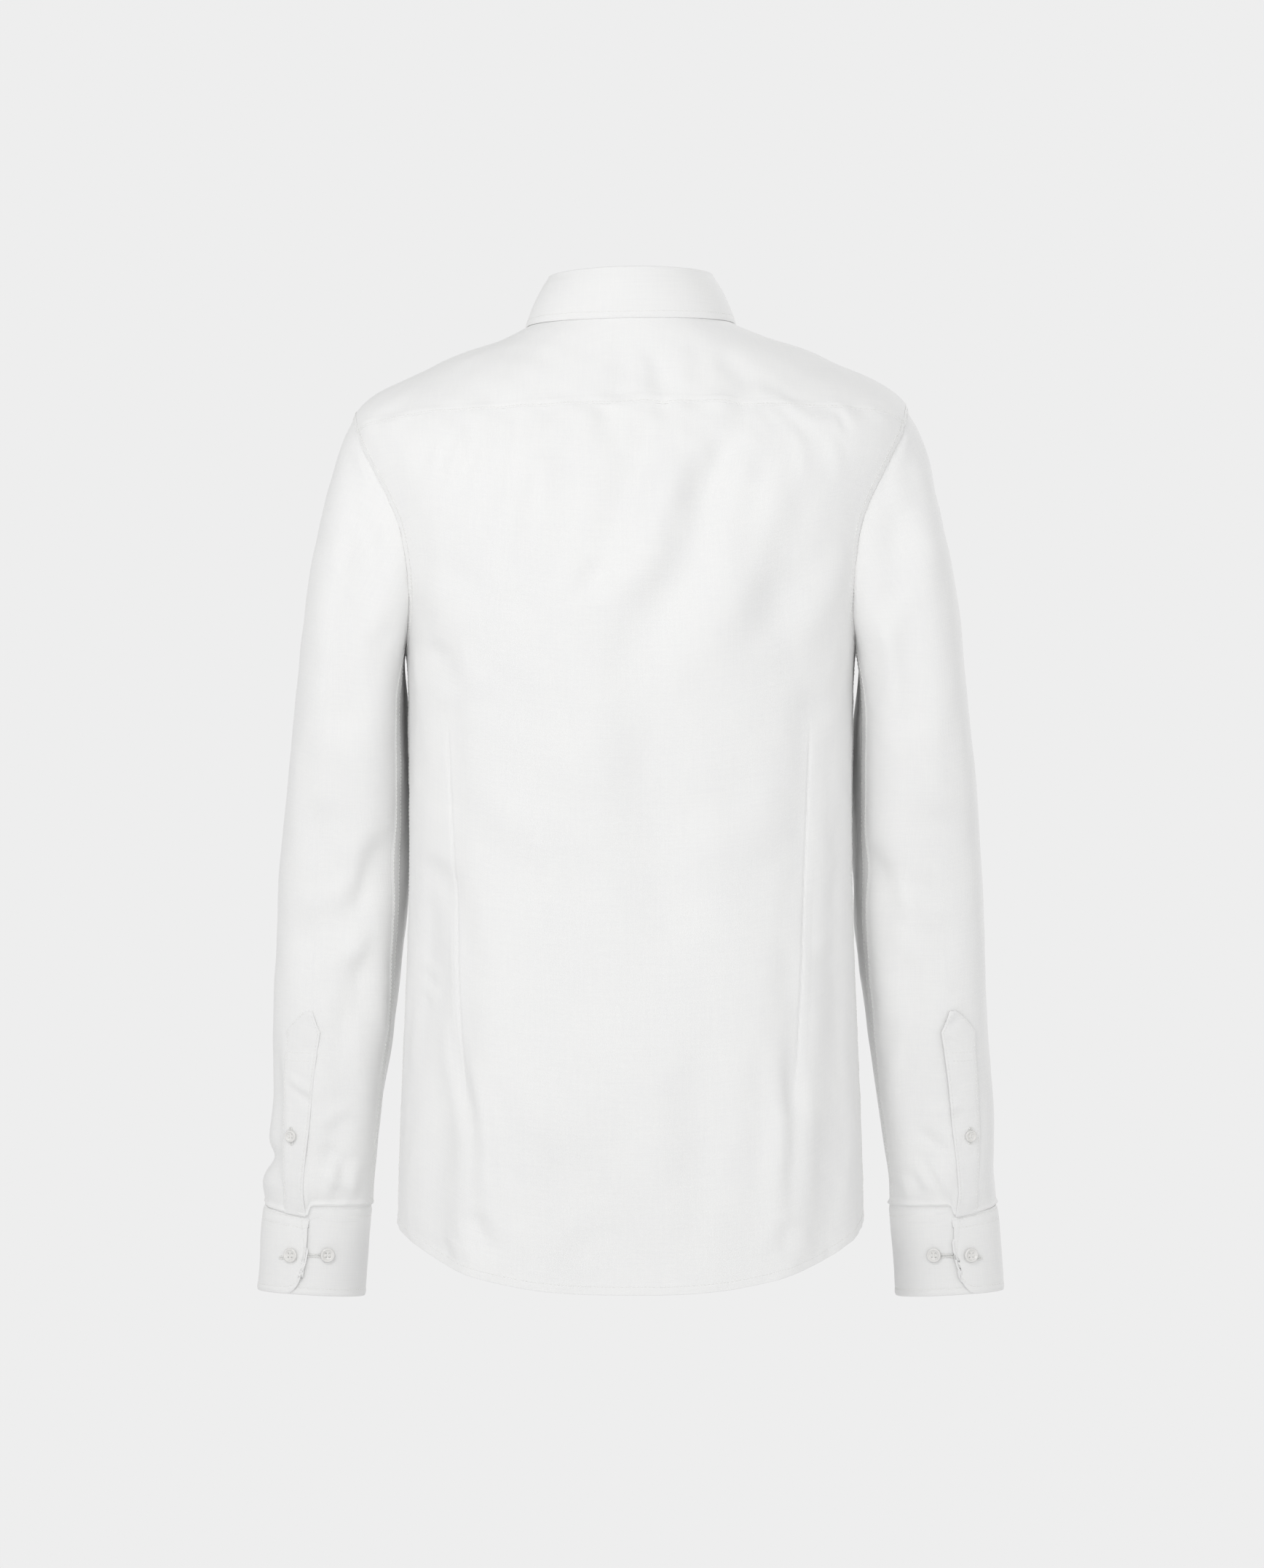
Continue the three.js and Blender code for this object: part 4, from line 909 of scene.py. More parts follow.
def make_cotton(name, light, dark, weave_mm, weave_depth, roughness):
    """Plain woven cotton, bleached white. Its fibres scatter the light, so it is matt with a faint sheen,
    and its yarns are a little uneven, which shows as fine streaks along and across the cloth.
    Real shirting has about 0.25 mm between yarns, too fine to show here, so it is drawn coarser."""
    made, tree = new_material(name)
    cloth = add_node(tree, "ShaderNodeUVMap", {"uv_map": "cloth"}).outputs["UV"]
    per_metre = 1000.0 / weave_mm
    warp_place = add_node(tree, "ShaderNodeMapping", sockets={
        "Vector": cloth, "Scale": (per_metre * 0.7, per_metre * 0.035, 1.0)})
    warp = add_node(tree, "ShaderNodeTexNoise", sockets={
        "Vector": warp_place.outputs["Vector"], "Scale": 1.0, "Detail": 3.0, "Roughness": 0.6})
    weft_place = add_node(tree, "ShaderNodeMapping", sockets={
        "Vector": cloth, "Scale": (per_metre * 0.03, per_metre * 0.8, 1.0)})
    weft = add_node(tree, "ShaderNodeTexNoise", sockets={
        "Vector": weft_place.outputs["Vector"], "Scale": 1.0, "Detail": 3.0, "Roughness": 0.6})
    yarn_place = add_node(tree, "ShaderNodeMapping", sockets={
        "Vector": cloth, "Scale": (per_metre, per_metre, 1.0)})
    warp_yarn = add_node(tree, "ShaderNodeTexWave", {"bands_direction": "X"}, {
        "Vector": yarn_place.outputs["Vector"], "Scale": 0.314, "Distortion": 1.2, "Detail": 1.0,
        "Detail Scale": 0.6})
    weft_yarn = add_node(tree, "ShaderNodeTexWave", {"bands_direction": "Y"}, {
        "Vector": yarn_place.outputs["Vector"], "Scale": 0.314, "Distortion": 1.2, "Detail": 1.0,
        "Detail Scale": 0.6})
    blotch = add_node(tree, "ShaderNodeTexNoise", sockets={
        "Vector": cloth, "Scale": 14.0, "Detail": 4.0, "Roughness": 0.55})
    streak = add_node(tree, "ShaderNodeMath", {"operation": "ADD"}, {
        0: warp.outputs["Fac"], 1: weft.outputs["Fac"]})
    weave = add_node(tree, "ShaderNodeMath", {"operation": "MULTIPLY"}, {
        0: warp_yarn.outputs["Fac"], 1: weft_yarn.outputs["Fac"]})
    tone = add_node(tree, "ShaderNodeMath", {"operation": "ADD"}, {
        0: streak.outputs["Value"], 1: blotch.outputs["Fac"]})
    share = add_node(tree, "ShaderNodeMapRange", sockets={
        "Value": tone.outputs["Value"], "From Min": 1.05, "From Max": 1.95})
    colour = add_node(tree, "ShaderNodeMix", {"data_type": "RGBA"}, {
        "Factor": share.outputs["Result"], MIX_FROM: linear(dark), MIX_TO: linear(light)})
    relief = add_node(tree, "ShaderNodeMath", {"operation": "MULTIPLY_ADD"}, {
        0: weave.outputs["Value"], 1: 0.7, 2: streak.outputs["Value"]})
    bump = add_node(tree, "ShaderNodeBump", sockets={
        "Strength": 0.5, "Distance": weave_depth * MM, "Height": relief.outputs["Value"]})
    surface = add_node(tree, "ShaderNodeBsdfPrincipled", sockets={
        "Base Color": colour.outputs[MIX_RESULT], "Roughness": roughness, "IOR": 1.5,
        "Specular IOR Level": 0.25, "Sheen Weight": 0.12, "Sheen Roughness": 0.45,
        "Normal": bump.outputs["Normal"]})
    finish_material(tree, surface)
    return made


def make_thread():
    """Mercerised cotton thread: two plies twisted together, a little shinier than the cloth. The grooves
    between the plies are painted darker and their crests lighter: painted shade.
    """
    made, tree = new_material("mercerised_cotton_thread")
    place = add_node(tree, "ShaderNodeTexCoord").outputs["Object"]
    plies = add_node(tree, "ShaderNodeTexWave", {"bands_direction": "DIAGONAL"}, {
        "Vector": place, "Scale": 500.0, "Distortion": 2.0, "Detail": 2.0})
    bump = add_node(tree, "ShaderNodeBump", sockets={
        "Strength": 0.4, "Distance": 0.0001, "Height": plies.outputs["Fac"]})
    # The ply pattern that bumps the thread also sets its colour, darker in the grooves and lighter on the
    # crests: painted shade.
    colour = add_node(tree, "ShaderNodeMix", {"data_type": "RGBA"}, {
        "Factor": plies.outputs["Fac"], MIX_FROM: linear("EDEDEB"), MIX_TO: linear("F8F8F6")})
    surface = add_node(tree, "ShaderNodeBsdfPrincipled", sockets={
        "Base Color": colour.outputs[MIX_RESULT], "Roughness": 0.6, "IOR": 1.5, "Sheen Weight": 0.1,
        "Normal": bump.outputs["Normal"]})
    finish_material(tree, surface)
    return made


def make_resin():
    """Cast polyester resin with a pearly cloud in it: clear gloss over a soft, slightly grey white, with
    painted shade that darkens the button's rims.
    """
    made, tree = new_material("pearly_polyester_resin")
    place = add_node(tree, "ShaderNodeTexCoord").outputs["Object"]
    cloud = add_node(tree, "ShaderNodeTexNoise", sockets={
        "Vector": place, "Scale": 260.0, "Detail": 3.0, "Distortion": 1.6})
    painted_rim_shade = add_node(tree, "ShaderNodeLayerWeight", sockets={"Blend": 0.35})
    pearl = add_node(tree, "ShaderNodeMix", {"data_type": "RGBA"}, {
        "Factor": cloud.outputs["Fac"], MIX_FROM: linear("E0DFDC"), MIX_TO: linear("F2F1EF")})
    # The colour is mixed towards a darker grey where the surface turns away from view: painted shade on the
    # button's rims.
    colour = add_node(tree, "ShaderNodeMix", {"data_type": "RGBA"}, {
        "Factor": painted_rim_shade.outputs["Facing"], MIX_FROM: pearl.outputs[MIX_RESULT], MIX_TO: linear("D9D8D6")})
    scratches = add_node(tree, "ShaderNodeTexNoise", sockets={
        "Vector": place, "Scale": 1400.0, "Detail": 2.0})
    rough = add_node(tree, "ShaderNodeMapRange", sockets={
        "Value": scratches.outputs["Fac"], "To Min": 0.16, "To Max": 0.3})
    surface = add_node(tree, "ShaderNodeBsdfPrincipled", sockets={
        "Base Color": colour.outputs[MIX_RESULT], "Roughness": rough.outputs["Result"], "IOR": 1.54,
        "Coat Weight": 0.3, "Coat Roughness": 0.1})
    finish_material(tree, surface)
    return made


def make_floor_paper():
    """Pale paper of a studio floor, matt and a little uneven."""
    made, tree = new_material("matt_studio_paper")
    place = add_node(tree, "ShaderNodeTexCoord").outputs["Object"]
    grain = add_node(tree, "ShaderNodeTexNoise", sockets={"Vector": place, "Scale": 60.0, "Detail": 4.0})
    colour = add_node(tree, "ShaderNodeMix", {"data_type": "RGBA"}, {
        "Factor": grain.outputs["Fac"], MIX_FROM: linear("EDEDED"), MIX_TO: linear("F3F3F3")})
    surface = add_node(tree, "ShaderNodeBsdfPrincipled", sockets={
        "Base Color": colour.outputs[MIX_RESULT], "Roughness": 0.9, "Specular IOR Level": 0.1})
    finish_material(tree, surface)
    return made


SHIRTING = make_cotton("woven_cotton_shirting", "F3F3F2", "EFEFEF", 1.3, 0.12, 0.86)
FUSED_SHIRTING = make_cotton("cotton_over_fused_interlining", "F1F1F0", "EDEDED", 1.3, 0.09, 0.8)
THREAD = make_thread()
RESIN = make_resin()


def dress(piece, node):
    """Attaches a sheet of cloth to the root, and hides the solid that it stands for."""
    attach(piece, "root")
    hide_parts(node)


# Back

SIDE_SHARE = 0.68  # of the back's edge that is side seam
BACK_WIDTH = 470.0
BACK_LENGTH = 690.0
BACK_ROW_STEP = 3.9
DART_MARKS = np.linspace(0.462, 0.575, 21)  # close columns over the darts
DART_MARKS_CLOSEST = 0.004
BACK_UNDER_YOKE = np.array([2.0, 4.0, 6.5])  # rows of the back that are tucked under the yoke
UNDER_YOKE_LEVELS = YOKE_MIDDLE_LEVEL * 1.4
SIDE_SEAM_SEED = 12
HEM_SEED = 13


def dart_relief(x, z):
    """The sewn line of each dart, and the fold beside it that the dart is pressed to."""
    height = np.zeros(np.shape(x))
    for from_x, from_z, to_x, to_z in DARTS:
        share = (z - from_z) / (to_z - from_z)
        side = (x - mix(from_x, to_x, share)) * math.copysign(1.0, from_x)
        fade = ease(share, 0.0, DART_FADE_IN) * (1 - ease(share, DART_FADE_OUT, 1.0))
        line = -DART_DEPTH * np.exp(-((side / DART_HALF_WIDTH) ** 2))
        fold = DART_FOLD * (ease(side, *DART_FOLD_START) - ease(side, *DART_FOLD_END))
        height += (line + fold) * fade
    return height


def back_places(u, v):
    """Turn and level on the body for a place on the back panel."""
    capped = np.minimum(v, 1.0)
    arm_turn = np.clip((capped - SIDE_SHARE) / (1 - SIDE_SHARE), 0, 1) * YOKE_END
    arm_round, arm_level = armhole(arm_turn)
    on_side = capped < SIDE_SHARE
    edge_turn = np.where(on_side, 90.0, arm_round)
    edge_level = np.where(on_side, capped / SIDE_SHARE * UNDERARM_LEVEL, arm_level)
    level = mix(YOKE_MIDDLE_LEVEL * capped, edge_level, np.abs(u) ** YOKE_CURVE)
    return u * edge_turn, level + (v - capped) * UNDER_YOKE_LEVELS


def make_back():
    half = spaced(BACK_WIDTH / 2, start=False)
    half = joined_marks(half, DART_MARKS, DART_MARKS_CLOSEST)
    u = np.concatenate([-half[:0:-1], half])
    v = np.concatenate([spaced(BACK_LENGTH, step=BACK_ROW_STEP), 1 + BACK_UNDER_YOKE / BACK_LENGTH])
    uu, vv = np.meshgrid(u, v)
    turn, level = back_places(uu, vv)
    grid = body_point(turn, level)
    away = edge_distances(grid)
    x = grid[..., 0]
    z = grid[..., 2]
    side = np.minimum(away["left"], away["right"])
    hem = away["bottom"]
    height = (creases(BACK_CREASES, x, z) + dart_relief(x, z)) * off_side_seams(turn)
    height += cloth_ripples(grid, CLOTH_SEED) * ease(side, 0, RIPPLE_FADE)
    height += turned_edge(side, HEM_WIDTH, 0.4) + stitch_relief(side, HEM_STITCH_IN)
    height += stitch_relief(side, 0.0, depth=0.35) + seam_pucker(grid, side, SIDE_SEAM_SEED)
    height += turned_edge(hem, HEM_WIDTH, 0.45) + stitch_relief(hem, HEM_STITCH_IN, depth=0.3)
    height += seam_pucker(grid, hem, HEM_SEED, high=0.5, reach=14, pitch=15)
    to_seam = (1 - vv) * BACK_LENGTH
    height += yoke_seam_pucker(grid, np.maximum(to_seam, 0), 20.0)
    height -= TUCK_DEPTH * (1 - ease(to_seam, -0.5, 0.6))
    outer = raised(grid, height)
    piece = make_wall("back_panel", outer, PANEL_CLOTH, SHIRTING)
    dress(piece, "back")
    shown = outer[:-len(BACK_UNDER_YOKE)]
    sewn_object("back_stitching", stitched_edges(
        shown,
        ("bottom", HEM_STITCH_IN),
        ("left", HEM_STITCH_IN),
        ("right", HEM_STITCH_IN),
        ("left", 1.0),
        ("right", 1.0),
    ), THREAD)


# Fronts

FRONT_SIDE_SHARE = 0.56
FRONT_ARM_SHARE = 0.25
FRONT_WIDTH = 235.0
FRONT_LENGTH = 760.0
FRONT_COLUMN_STEP = 3.3
FRONT_ROW_STEP = 4.0
BAND_MARKS = np.array([-8.0, -6.5, -5.5, -4.5, -1.0, 0.0, 1.0, 2.0])  # columns beside the band's edge
BAND_MARKS_CLOSEST = 0.0035
BAND_STITCH_IN = 6.0
BAND_FADE = (-12.0, 30.0)  # from the band's edge, where the creases fade
BAND_RIPPLES = 0.25  # the band is stiffer than the cloth beside it
UNDER_LEAF = (45.0, 90.0)  # from the neck, the cloth that the collar leaf lies on
UNDER_LEAF_RIPPLES = 0.3
FACING_STITCH_IN = 20.0
BUTTONHOLE_LENGTH = 14.0
FRONT_MIDDLE_SHARES = (0.0, FRONT_SIDE_SHARE, FRONT_SIDE_SHARE + FRONT_ARM_SHARE, 1.0)
FRONT_MIDDLE_LEVELS = (0.0, 5.9, 7.7, NECK_LEVEL)


def front_places(w, v):
    """Turn and level of a place on the left front: w runs from the side to the free edge."""
    arm = np.clip((v - FRONT_SIDE_SHARE) / FRONT_ARM_SHARE, 0, 1) * YOKE_END
    arm_turn, arm_level = armhole(360 - arm)
    yoke_from = FRONT_SIDE_SHARE + FRONT_ARM_SHARE
    yoke = np.clip((v - yoke_from) / (1 - yoke_from), 0, 1)
    on_side = v < FRONT_SIDE_SHARE
    on_yoke = v > yoke_from
    edge_turn = np.where(on_side, 90.0, arm_turn)
    edge_turn = np.where(on_yoke, mix(YOKE_FRONT_TURN, YOKE_NECK_REACH, yoke), edge_turn)
    edge_level = np.where(on_side, v / FRONT_SIDE_SHARE * UNDERARM_LEVEL, arm_level)
    edge_level = np.where(on_yoke, mix(YOKE_CORNER_LEVEL, NECK_LEVEL, yoke), edge_level)
    middle_level = np.interp(v, FRONT_MIDDLE_SHARES, FRONT_MIDDLE_LEVELS)
    level = mix(edge_level, middle_level, 1 - (1 - w) ** YOKE_CURVE)
    return mix(edge_turn, 180 + front_edge(level), w), level


def make_front(name, is_left, seed):
    w = spaced(FRONT_WIDTH, step=FRONT_COLUMN_STEP)
    band_marks = 1 - (PLACKET_BAND + BAND_MARKS) / FRONT_WIDTH
    w = joined_marks(w, np.sort(band_marks), BAND_MARKS_CLOSEST)
    v = spaced(FRONT_LENGTH, step=FRONT_ROW_STEP)
    ww, vv = np.meshgrid(w, v)
    turn, level = front_places(ww, vv)
    if not is_left:
        turn = -turn[:, ::-1]
        level = level[:, ::-1]
    lift = overlap_lift(body_base(turn, level)[..., 0]) if is_left else 0.0
    grid = body_point(turn, level, lift)
    away = edge_distances(grid)
    side_edge, free_edge = ("left", "right") if is_left else ("right", "left")
    side = away[side_edge]
    free = away[free_edge]
    hem = away["bottom"]
    x = grid[..., 0]
    z = grid[..., 2]
    off_band = ease(free, PLACKET_BAND + BAND_FADE[0], PLACKET_BAND + BAND_FADE[1])
    height = creases(FRONT_CREASES, x, z) * off_side_seams(turn) * off_band
    stiff = mix(BAND_RIPPLES, 1.0, off_band) * mix(UNDER_LEAF_RIPPLES, 1.0, ease(away["top"], *UNDER_LEAF))
    height += cloth_ripples(grid, seed) * ease(side, 0, RIPPLE_FADE) * stiff
    height += turned_edge(side, HEM_WIDTH, 0.35) + stitch_relief(side, HEM_STITCH_IN)
    height += seam_pucker(grid, side, seed + 2)
    height += turned_edge(hem, HEM_WIDTH, 0.45) + stitch_relief(hem, HEM_STITCH_IN, depth=0.3)
    height += seam_pucker(grid, hem, seed + 3, high=0.45, reach=14, pitch=15)
    height += seam_pucker(grid, away["top"], seed + 4, high=0.3)
    if is_left:
        height += turned_edge(free, PLACKET_BAND, 0.35)
        height += stitch_relief(free, BAND_STITCH_IN) + stitch_relief(free, PLACKET_BAND - BAND_STITCH_IN)
    outer = raised(grid, height)
    piece = make_wall(name + "_panel", outer, PANEL_CLOTH, SHIRTING)
    dress(piece, name)
    seams = [("bottom", HEM_STITCH_IN), (side_edge, HEM_STITCH_IN), (side_edge, 1.2)]
    if is_left:
        seams += [(free_edge, BAND_STITCH_IN), (free_edge, PLACKET_BAND - BAND_STITCH_IN)]
    else:
        seams.append((free_edge, FACING_STITCH_IN))
    parts = stitched_edges(outer, *seams)
    if is_left:
        for number in range(FRONT_BUTTON_COUNT):
            centre, normal = front_button_place(number)
            parts.append(buttonhole(centre, normal, UPRIGHT, BUTTONHOLE_LENGTH))
    sewn_object(name + "_stitching", parts, THREAD)


def level_at_front(z):
    """The level of the front's middle at a height, found by halving."""
    low = 0.0
    high = NECK_LEVEL
    for _ in range(HALVINGS):
        level = (low + high) / 2
        if body_base(180.0, level)[2] < z:
            low = level
        else:
            high = level
    return low


def front_button_place(number):
    level = level_at_front(FRONT_BUTTON_TOP_Z - number * FRONT_BUTTON_PITCH)
    return body_point(180.0, level, FRONT_LIFT + BUTTONHOLE_LIFT), body_normal(180.0, level)


# Yoke

YOKE_WIDTH = 560.0
YOKE_DEPTH = 120.0
YOKE_COLUMN_STEP = 3.3
YOKE_ROW_STEP = 2.6
YOKE_CORNERS_CLOSEST = 0.004
YOKE_LIFT = 0.05
YOKE_RELIEF = 0.85  # of the back's creases and ripples, away from the seam
YOKE_RELIEF_FADE = 25.0
YOKE_UNDER_LEAF = (12.0, 40.0)  # from the neck, where the ripples fade under the collar leaf
YOKE_STITCH_IN = 1.6


def yoke_outer(s):
    """The yoke's outer edge: up one armhole, along the back seam and down the other armhole."""
    on_arm = np.abs(s) > YOKE_SEAM_SHARE
    share = np.clip((np.abs(s) - YOKE_SEAM_SHARE) / (1 - YOKE_SEAM_SHARE), 0, 1)
    arm_turn, arm_level = armhole(mix(YOKE_END, 360 - YOKE_END, share))
    seam_share = np.clip(np.abs(s) / YOKE_SEAM_SHARE, 0, 1)
    seam_level = mix(YOKE_MIDDLE_LEVEL, YOKE_CORNER_LEVEL, seam_share ** YOKE_CURVE)
    turn = np.where(on_arm, arm_turn, seam_share * YOKE_CORNER_TURN)
    return np.sign(s) * turn, np.where(on_arm, arm_level, seam_level)


def make_yoke():
    corners = np.array([-YOKE_SEAM_SHARE, YOKE_SEAM_SHARE])
    s = joined_marks(2 * spaced(YOKE_WIDTH, step=YOKE_COLUMN_STEP) - 1, corners, YOKE_CORNERS_CLOSEST)
    t = spaced(YOKE_DEPTH, step=YOKE_ROW_STEP)
    ss, tt = np.meshgrid(s, t)
    outer_turn, outer_level = yoke_outer(ss)
    turn = mix(outer_turn, ss * YOKE_NECK_REACH, tt)
    level = mix(outer_level, NECK_LEVEL, tt)
    grid = body_point(turn, level, YOKE_LIFT)
    away = edge_distances(grid)
    x = grid[..., 0]
    z = grid[..., 2]
    seam = away["bottom"]
    strength = mix(1.0, YOKE_RELIEF, ease(seam, 0, YOKE_RELIEF_FADE))
    height = strength * creases(BACK_CREASES, x, z) * (np.abs(turn) < 90)
    to_corner = (YOKE_SEAM_SHARE - np.abs(ss)) * YOKE_WIDTH / 2
    off_armhole = np.maximum(ease(seam, 0, RIPPLE_FADE), ease(to_corner, 0, RIPPLE_FADE))
    shown = off_armhole * ease(away["top"], *YOKE_UNDER_LEAF)
    height += strength * cloth_ripples(grid, CLOTH_SEED) * shown
    height += turned_edge(seam, HEM_WIDTH, 0.25) + stitch_relief(seam, YOKE_STITCH_IN, depth=0.28)
    height += yoke_seam_pucker(grid, seam, 9.0)
    ends = np.minimum(away["left"], away["right"])
    height += turned_edge(ends, HEM_WIDTH, 0.3) + stitch_relief(ends, YOKE_STITCH_IN)
    height += stitch_relief(away["top"], 0.6, depth=0.4)
    outer = raised(grid, height)
    piece = make_wall("yoke_panel", outer, PANEL_CLOTH, SHIRTING)
    dress(piece, "yoke")
    seams = [(edge, YOKE_STITCH_IN) for edge in ("bottom", "left", "right")]
    sewn_object("yoke_stitching", stitched_edges(outer, *seams), THREAD)


# Sleeves

SLEEVE_LENGTH = 610.0
SLEEVE_COLUMN_COUNT = 112
SLEEVE_ROW_STEP = 3.9
SEAM_MARKS_CLOSEST = 1.2
CREASE_ROWS = (0.02, 0.25)  # where the fine creases fade in, below the armhole and above the cuff
ARMHOLE_TUCK_ROWS = (-0.1, -0.05)  # the sleeve's edge, tucked in under the body's
ARMHOLE_TUCK_WIDEN = 0.6
CUFF_TUCK_ROWS = (0.3, 1.0)  # the sleeve's end, tucked into the cuff
CUFF_TUCK_DEPTH = 0.7
CUFF_EDGE_DIP = 0.8  # how far the sleeve drops where the cuff is sewn on
CUFF_EDGE_DIP_REACH = 1.4
CUFF_PUFF_UP = 7.0
CUFF_PUFF_HALF = 6.0
OUTER_EDGE = (0.55, 0.98)  # how far out on the sleeve its outer edge starts and is full
STITCHED_ROWS = slice(3, -3)


def cuff_slant(turn):
    """How far the top of the cuff's upper layer drops towards its free edge."""
    beyond = (turn - CUFF_EDGE + 540) % 360 - 180
    reach = np.where(beyond < 0, CUFF_SLANT_BEFORE, CUFF_SLANT_AFTER)
    return CUFF_SLANT * (1 - np.minimum(np.abs(beyond) / reach, 1))


def sleeve_ring(turn, row):
    """A sleeve's surface without folds. Turn 0 is its inner side, 90 its back and 180 its outer side."""
    at = {name: smooth_through(values, row) for name, values in SLEEVE.items()}
    near_cuff = ease(row, SLEEVE_END - SLEEVE_SQUARE_ROWS, SLEEVE_END)
    exponent = 2 / mix(SLEEVE_SQUARE, CUFF_SQUARE, near_cuff)
    outward = -signed_power(np.cos(radians(turn)), exponent)
    back = signed_power(np.sin(radians(turn)), exponent)
    swing = radians(at["turn"])
    x = (at["outer_x"] - at["inner_x"]) / 2 * outward
    y = at["depth"] * back
    z = mix(at["inner_z"], at["outer_z"], (1 + outward) / 2)
    return points_of(
        (at["outer_x"] + at["inner_x"]) / 2 + x * np.cos(swing) + y * np.sin(swing),
        at["centre_y"] - x * np.sin(swing) + y * np.cos(swing),
        z - cuff_slant(turn) * ease(row, SLEEVE_END - CUFF_SLANT_ROWS, SLEEVE_END),
    )


def sleeve_base(turn, row):
    """The sleeve's rings, blended into the armhole of the body."""
    fade = 1 - ease(row, 0, CAP_BLEND)
    hole_turn, hole_level = armhole(turn)
    offset = body_point(hole_turn, hole_level) - sleeve_ring(turn, np.zeros(np.shape(turn)))
    return sleeve_ring(turn, row) + offset * np.asarray(fade)[..., None]


def sleeve_normal(turn, row):
    return -normal_of(sleeve_base, turn, row, TURN_STEP, ROW_STEP)


def sleeve_relief(turn, row, base, back_creases):
    """Folds and creases of a sleeve, which end at the armhole and at the cuff."""
    is_back = np.sin(radians(turn)) >= 0
    near_middle = np.minimum(1, np.abs(np.sin(radians(turn))) * SLEEVE_SIDE_FADE)
    away = ease(row, 0, 1) * (1 - ease(row, SLEEVE_END - 1, SLEEVE_END))
    x = base[..., 0]
    z = base[..., 2]
    back = large_folds(LARGE_SLEEVE_BACK_FOLDS, x, z)
    front = large_folds(LARGE_SLEEVE_FRONT_FOLDS, x, z)
    height = np.where(is_back, back, front) * near_middle * away
    fine_back = creases(back_creases, x, z)
    fine_front = creases(SLEEVE_FRONT_CREASES, x, z)
    fine_away = ease(row, *CREASE_ROWS) * (1 - ease(row, SLEEVE_END - CREASE_ROWS[1], SLEEVE_END))
    return height + np.where(is_back, fine_back, fine_front) * near_middle * fine_away


def sleeve_point(turn, row, back_creases, lift=0.0):
    base = sleeve_base(turn, row)
    height = sleeve_relief(turn, row, base, back_creases) + lift
    return base + sleeve_normal(turn, row) * np.asarray(height)[..., None]


def underarm_seam(turn, row):
    """The felled seam along the inside of the arm: a flat ridge between two rows of stitches."""
    girth = 2.6 * smooth_through(SLEEVE["depth"], row) + 90  # close to the real one at every row
    side = (turn - UNDERARM_SEAM_TURN) * girth / 360
    half = UNDERARM_SEAM_HALF
    rise = ease(side, -half - UNDERARM_SEAM_SLOPE, -half)
    return UNDERARM_SEAM_RISE * (rise - ease(side, half, half + UNDERARM_SEAM_SLOPE))


def widened_armhole(turn, by):
    hole_turn, hole_level = armhole(turn)
    return 90 + (hole_turn - 90) * by, ARMHOLE_LEVEL + (hole_level - ARMHOLE_LEVEL) * by


def make_sleeve(side, mirrored, back_creases, seed):
    turns = np.linspace(0, 360, SLEEVE_COLUMN_COUNT, endpoint=False)
    turns = joined_marks(turns, UNDERARM_SEAM_TURN + UNDERARM_SEAM_MARKS, SEAM_MARKS_CLOSEST)
    shown_rows = spaced(SLEEVE_LENGTH, step=SLEEVE_ROW_STEP) * SLEEVE_END
    rows = np.concatenate([ARMHOLE_TUCK_ROWS, shown_rows, SLEEVE_END + np.array(CUFF_TUCK_ROWS)])[::-1]
    tt, rr = np.meshgrid(turns, rows)
    shown_row = np.clip(rr, 0, SLEEVE_END)
    grid = sleeve_point(tt, shown_row, back_creases)
    tucked = body_point(*widened_armhole(tt, 1 - ARMHOLE_TUCK_WIDEN * np.minimum(rr, 0)), -TUCK_DEPTH)
    grid = np.where((rr < 0)[..., None], tucked, grid)
    grid[..., 2] -= np.maximum(rr - SLEEVE_END, 0) * SLEEVE_TUCK_LENGTH
    from_hole = np.maximum(rr, 0) / SLEEVE_END * SLEEVE_LENGTH
    from_cuff = (SLEEVE_END - shown_row) / SLEEVE_END * SLEEVE_LENGTH
    height = cloth_ripples(grid, seed) * ease(from_hole, 0, 25) * ease(from_cuff, 0, 20)
    height += underarm_seam(tt, shown_row) * ease(from_hole, 2, 8)
    height += seam_pucker(grid, from_hole, seed + 2, high=0.5, reach=16, pitch=17) * ease(from_hole, 0, 3)
    height += seam_pucker(grid, from_cuff, seed + 3, high=0.9, reach=16, pitch=13) * ease(from_cuff, 0, 5)
    height -= TUCK_DEPTH * (1 - ease(from_hole, -0.5, 1.2)) * (rr >= 0)
    height -= CUFF_EDGE_DIP * (1 - ease(from_cuff, 0.0, CUFF_EDGE_DIP_REACH))
    height -= CUFF_TUCK_DEPTH * (rr > SLEEVE_END)
    puff = np.exp(-(((from_cuff - CUFF_PUFF_UP) / CUFF_PUFF_HALF) ** 2))
    height += CUFF_PUFF * puff * ease(from_cuff, 0, 3)
    at_edge = ease(-np.cos(radians(tt)), *OUTER_EDGE)
    for level, wide, high in OUTER_EDGE_FOLDS[side]:
        height += high * np.exp(-(((grid[..., 2] - level) / wide) ** 2)) * at_edge
    outer = raised(grid, height, closed=True)
    piece = make_wall(f"sleeve_{side}_panel", outer, PANEL_CLOTH, SHIRTING, closed=True, mirrored=mirrored)
    dress(piece, f"sleeve_{side}")
    normals = grid_normals(outer, closed=True)
    parts = []
    for way in (-1, 1):
        at = UNDERARM_SEAM_TURN + way * (UNDERARM_SEAM_HALF - UNDERARM_STITCH_IN) * UNDERARM_DEGREES
        column = int(np.argmin(np.abs(turns - at)))
        parts.append(stitch_line(outer[STITCHED_ROWS, column], normals[STITCHED_ROWS, column]))
    sewn_object(f"sleeve_{side}_stitching", parts, THREAD, mirrored)


def row_at(turn, z):
    """The row of a sleeve at a height, found by halving."""
    low = SLEEVE_END
    high = 0.0
    for _ in range(HALVINGS):
        row = (low + high) / 2
        if sleeve_base(np.array(turn), np.array(row))[2] < z:
            low = row
        else:
            high = row
    return low


# Armhole stitching, on the body's side of the seam

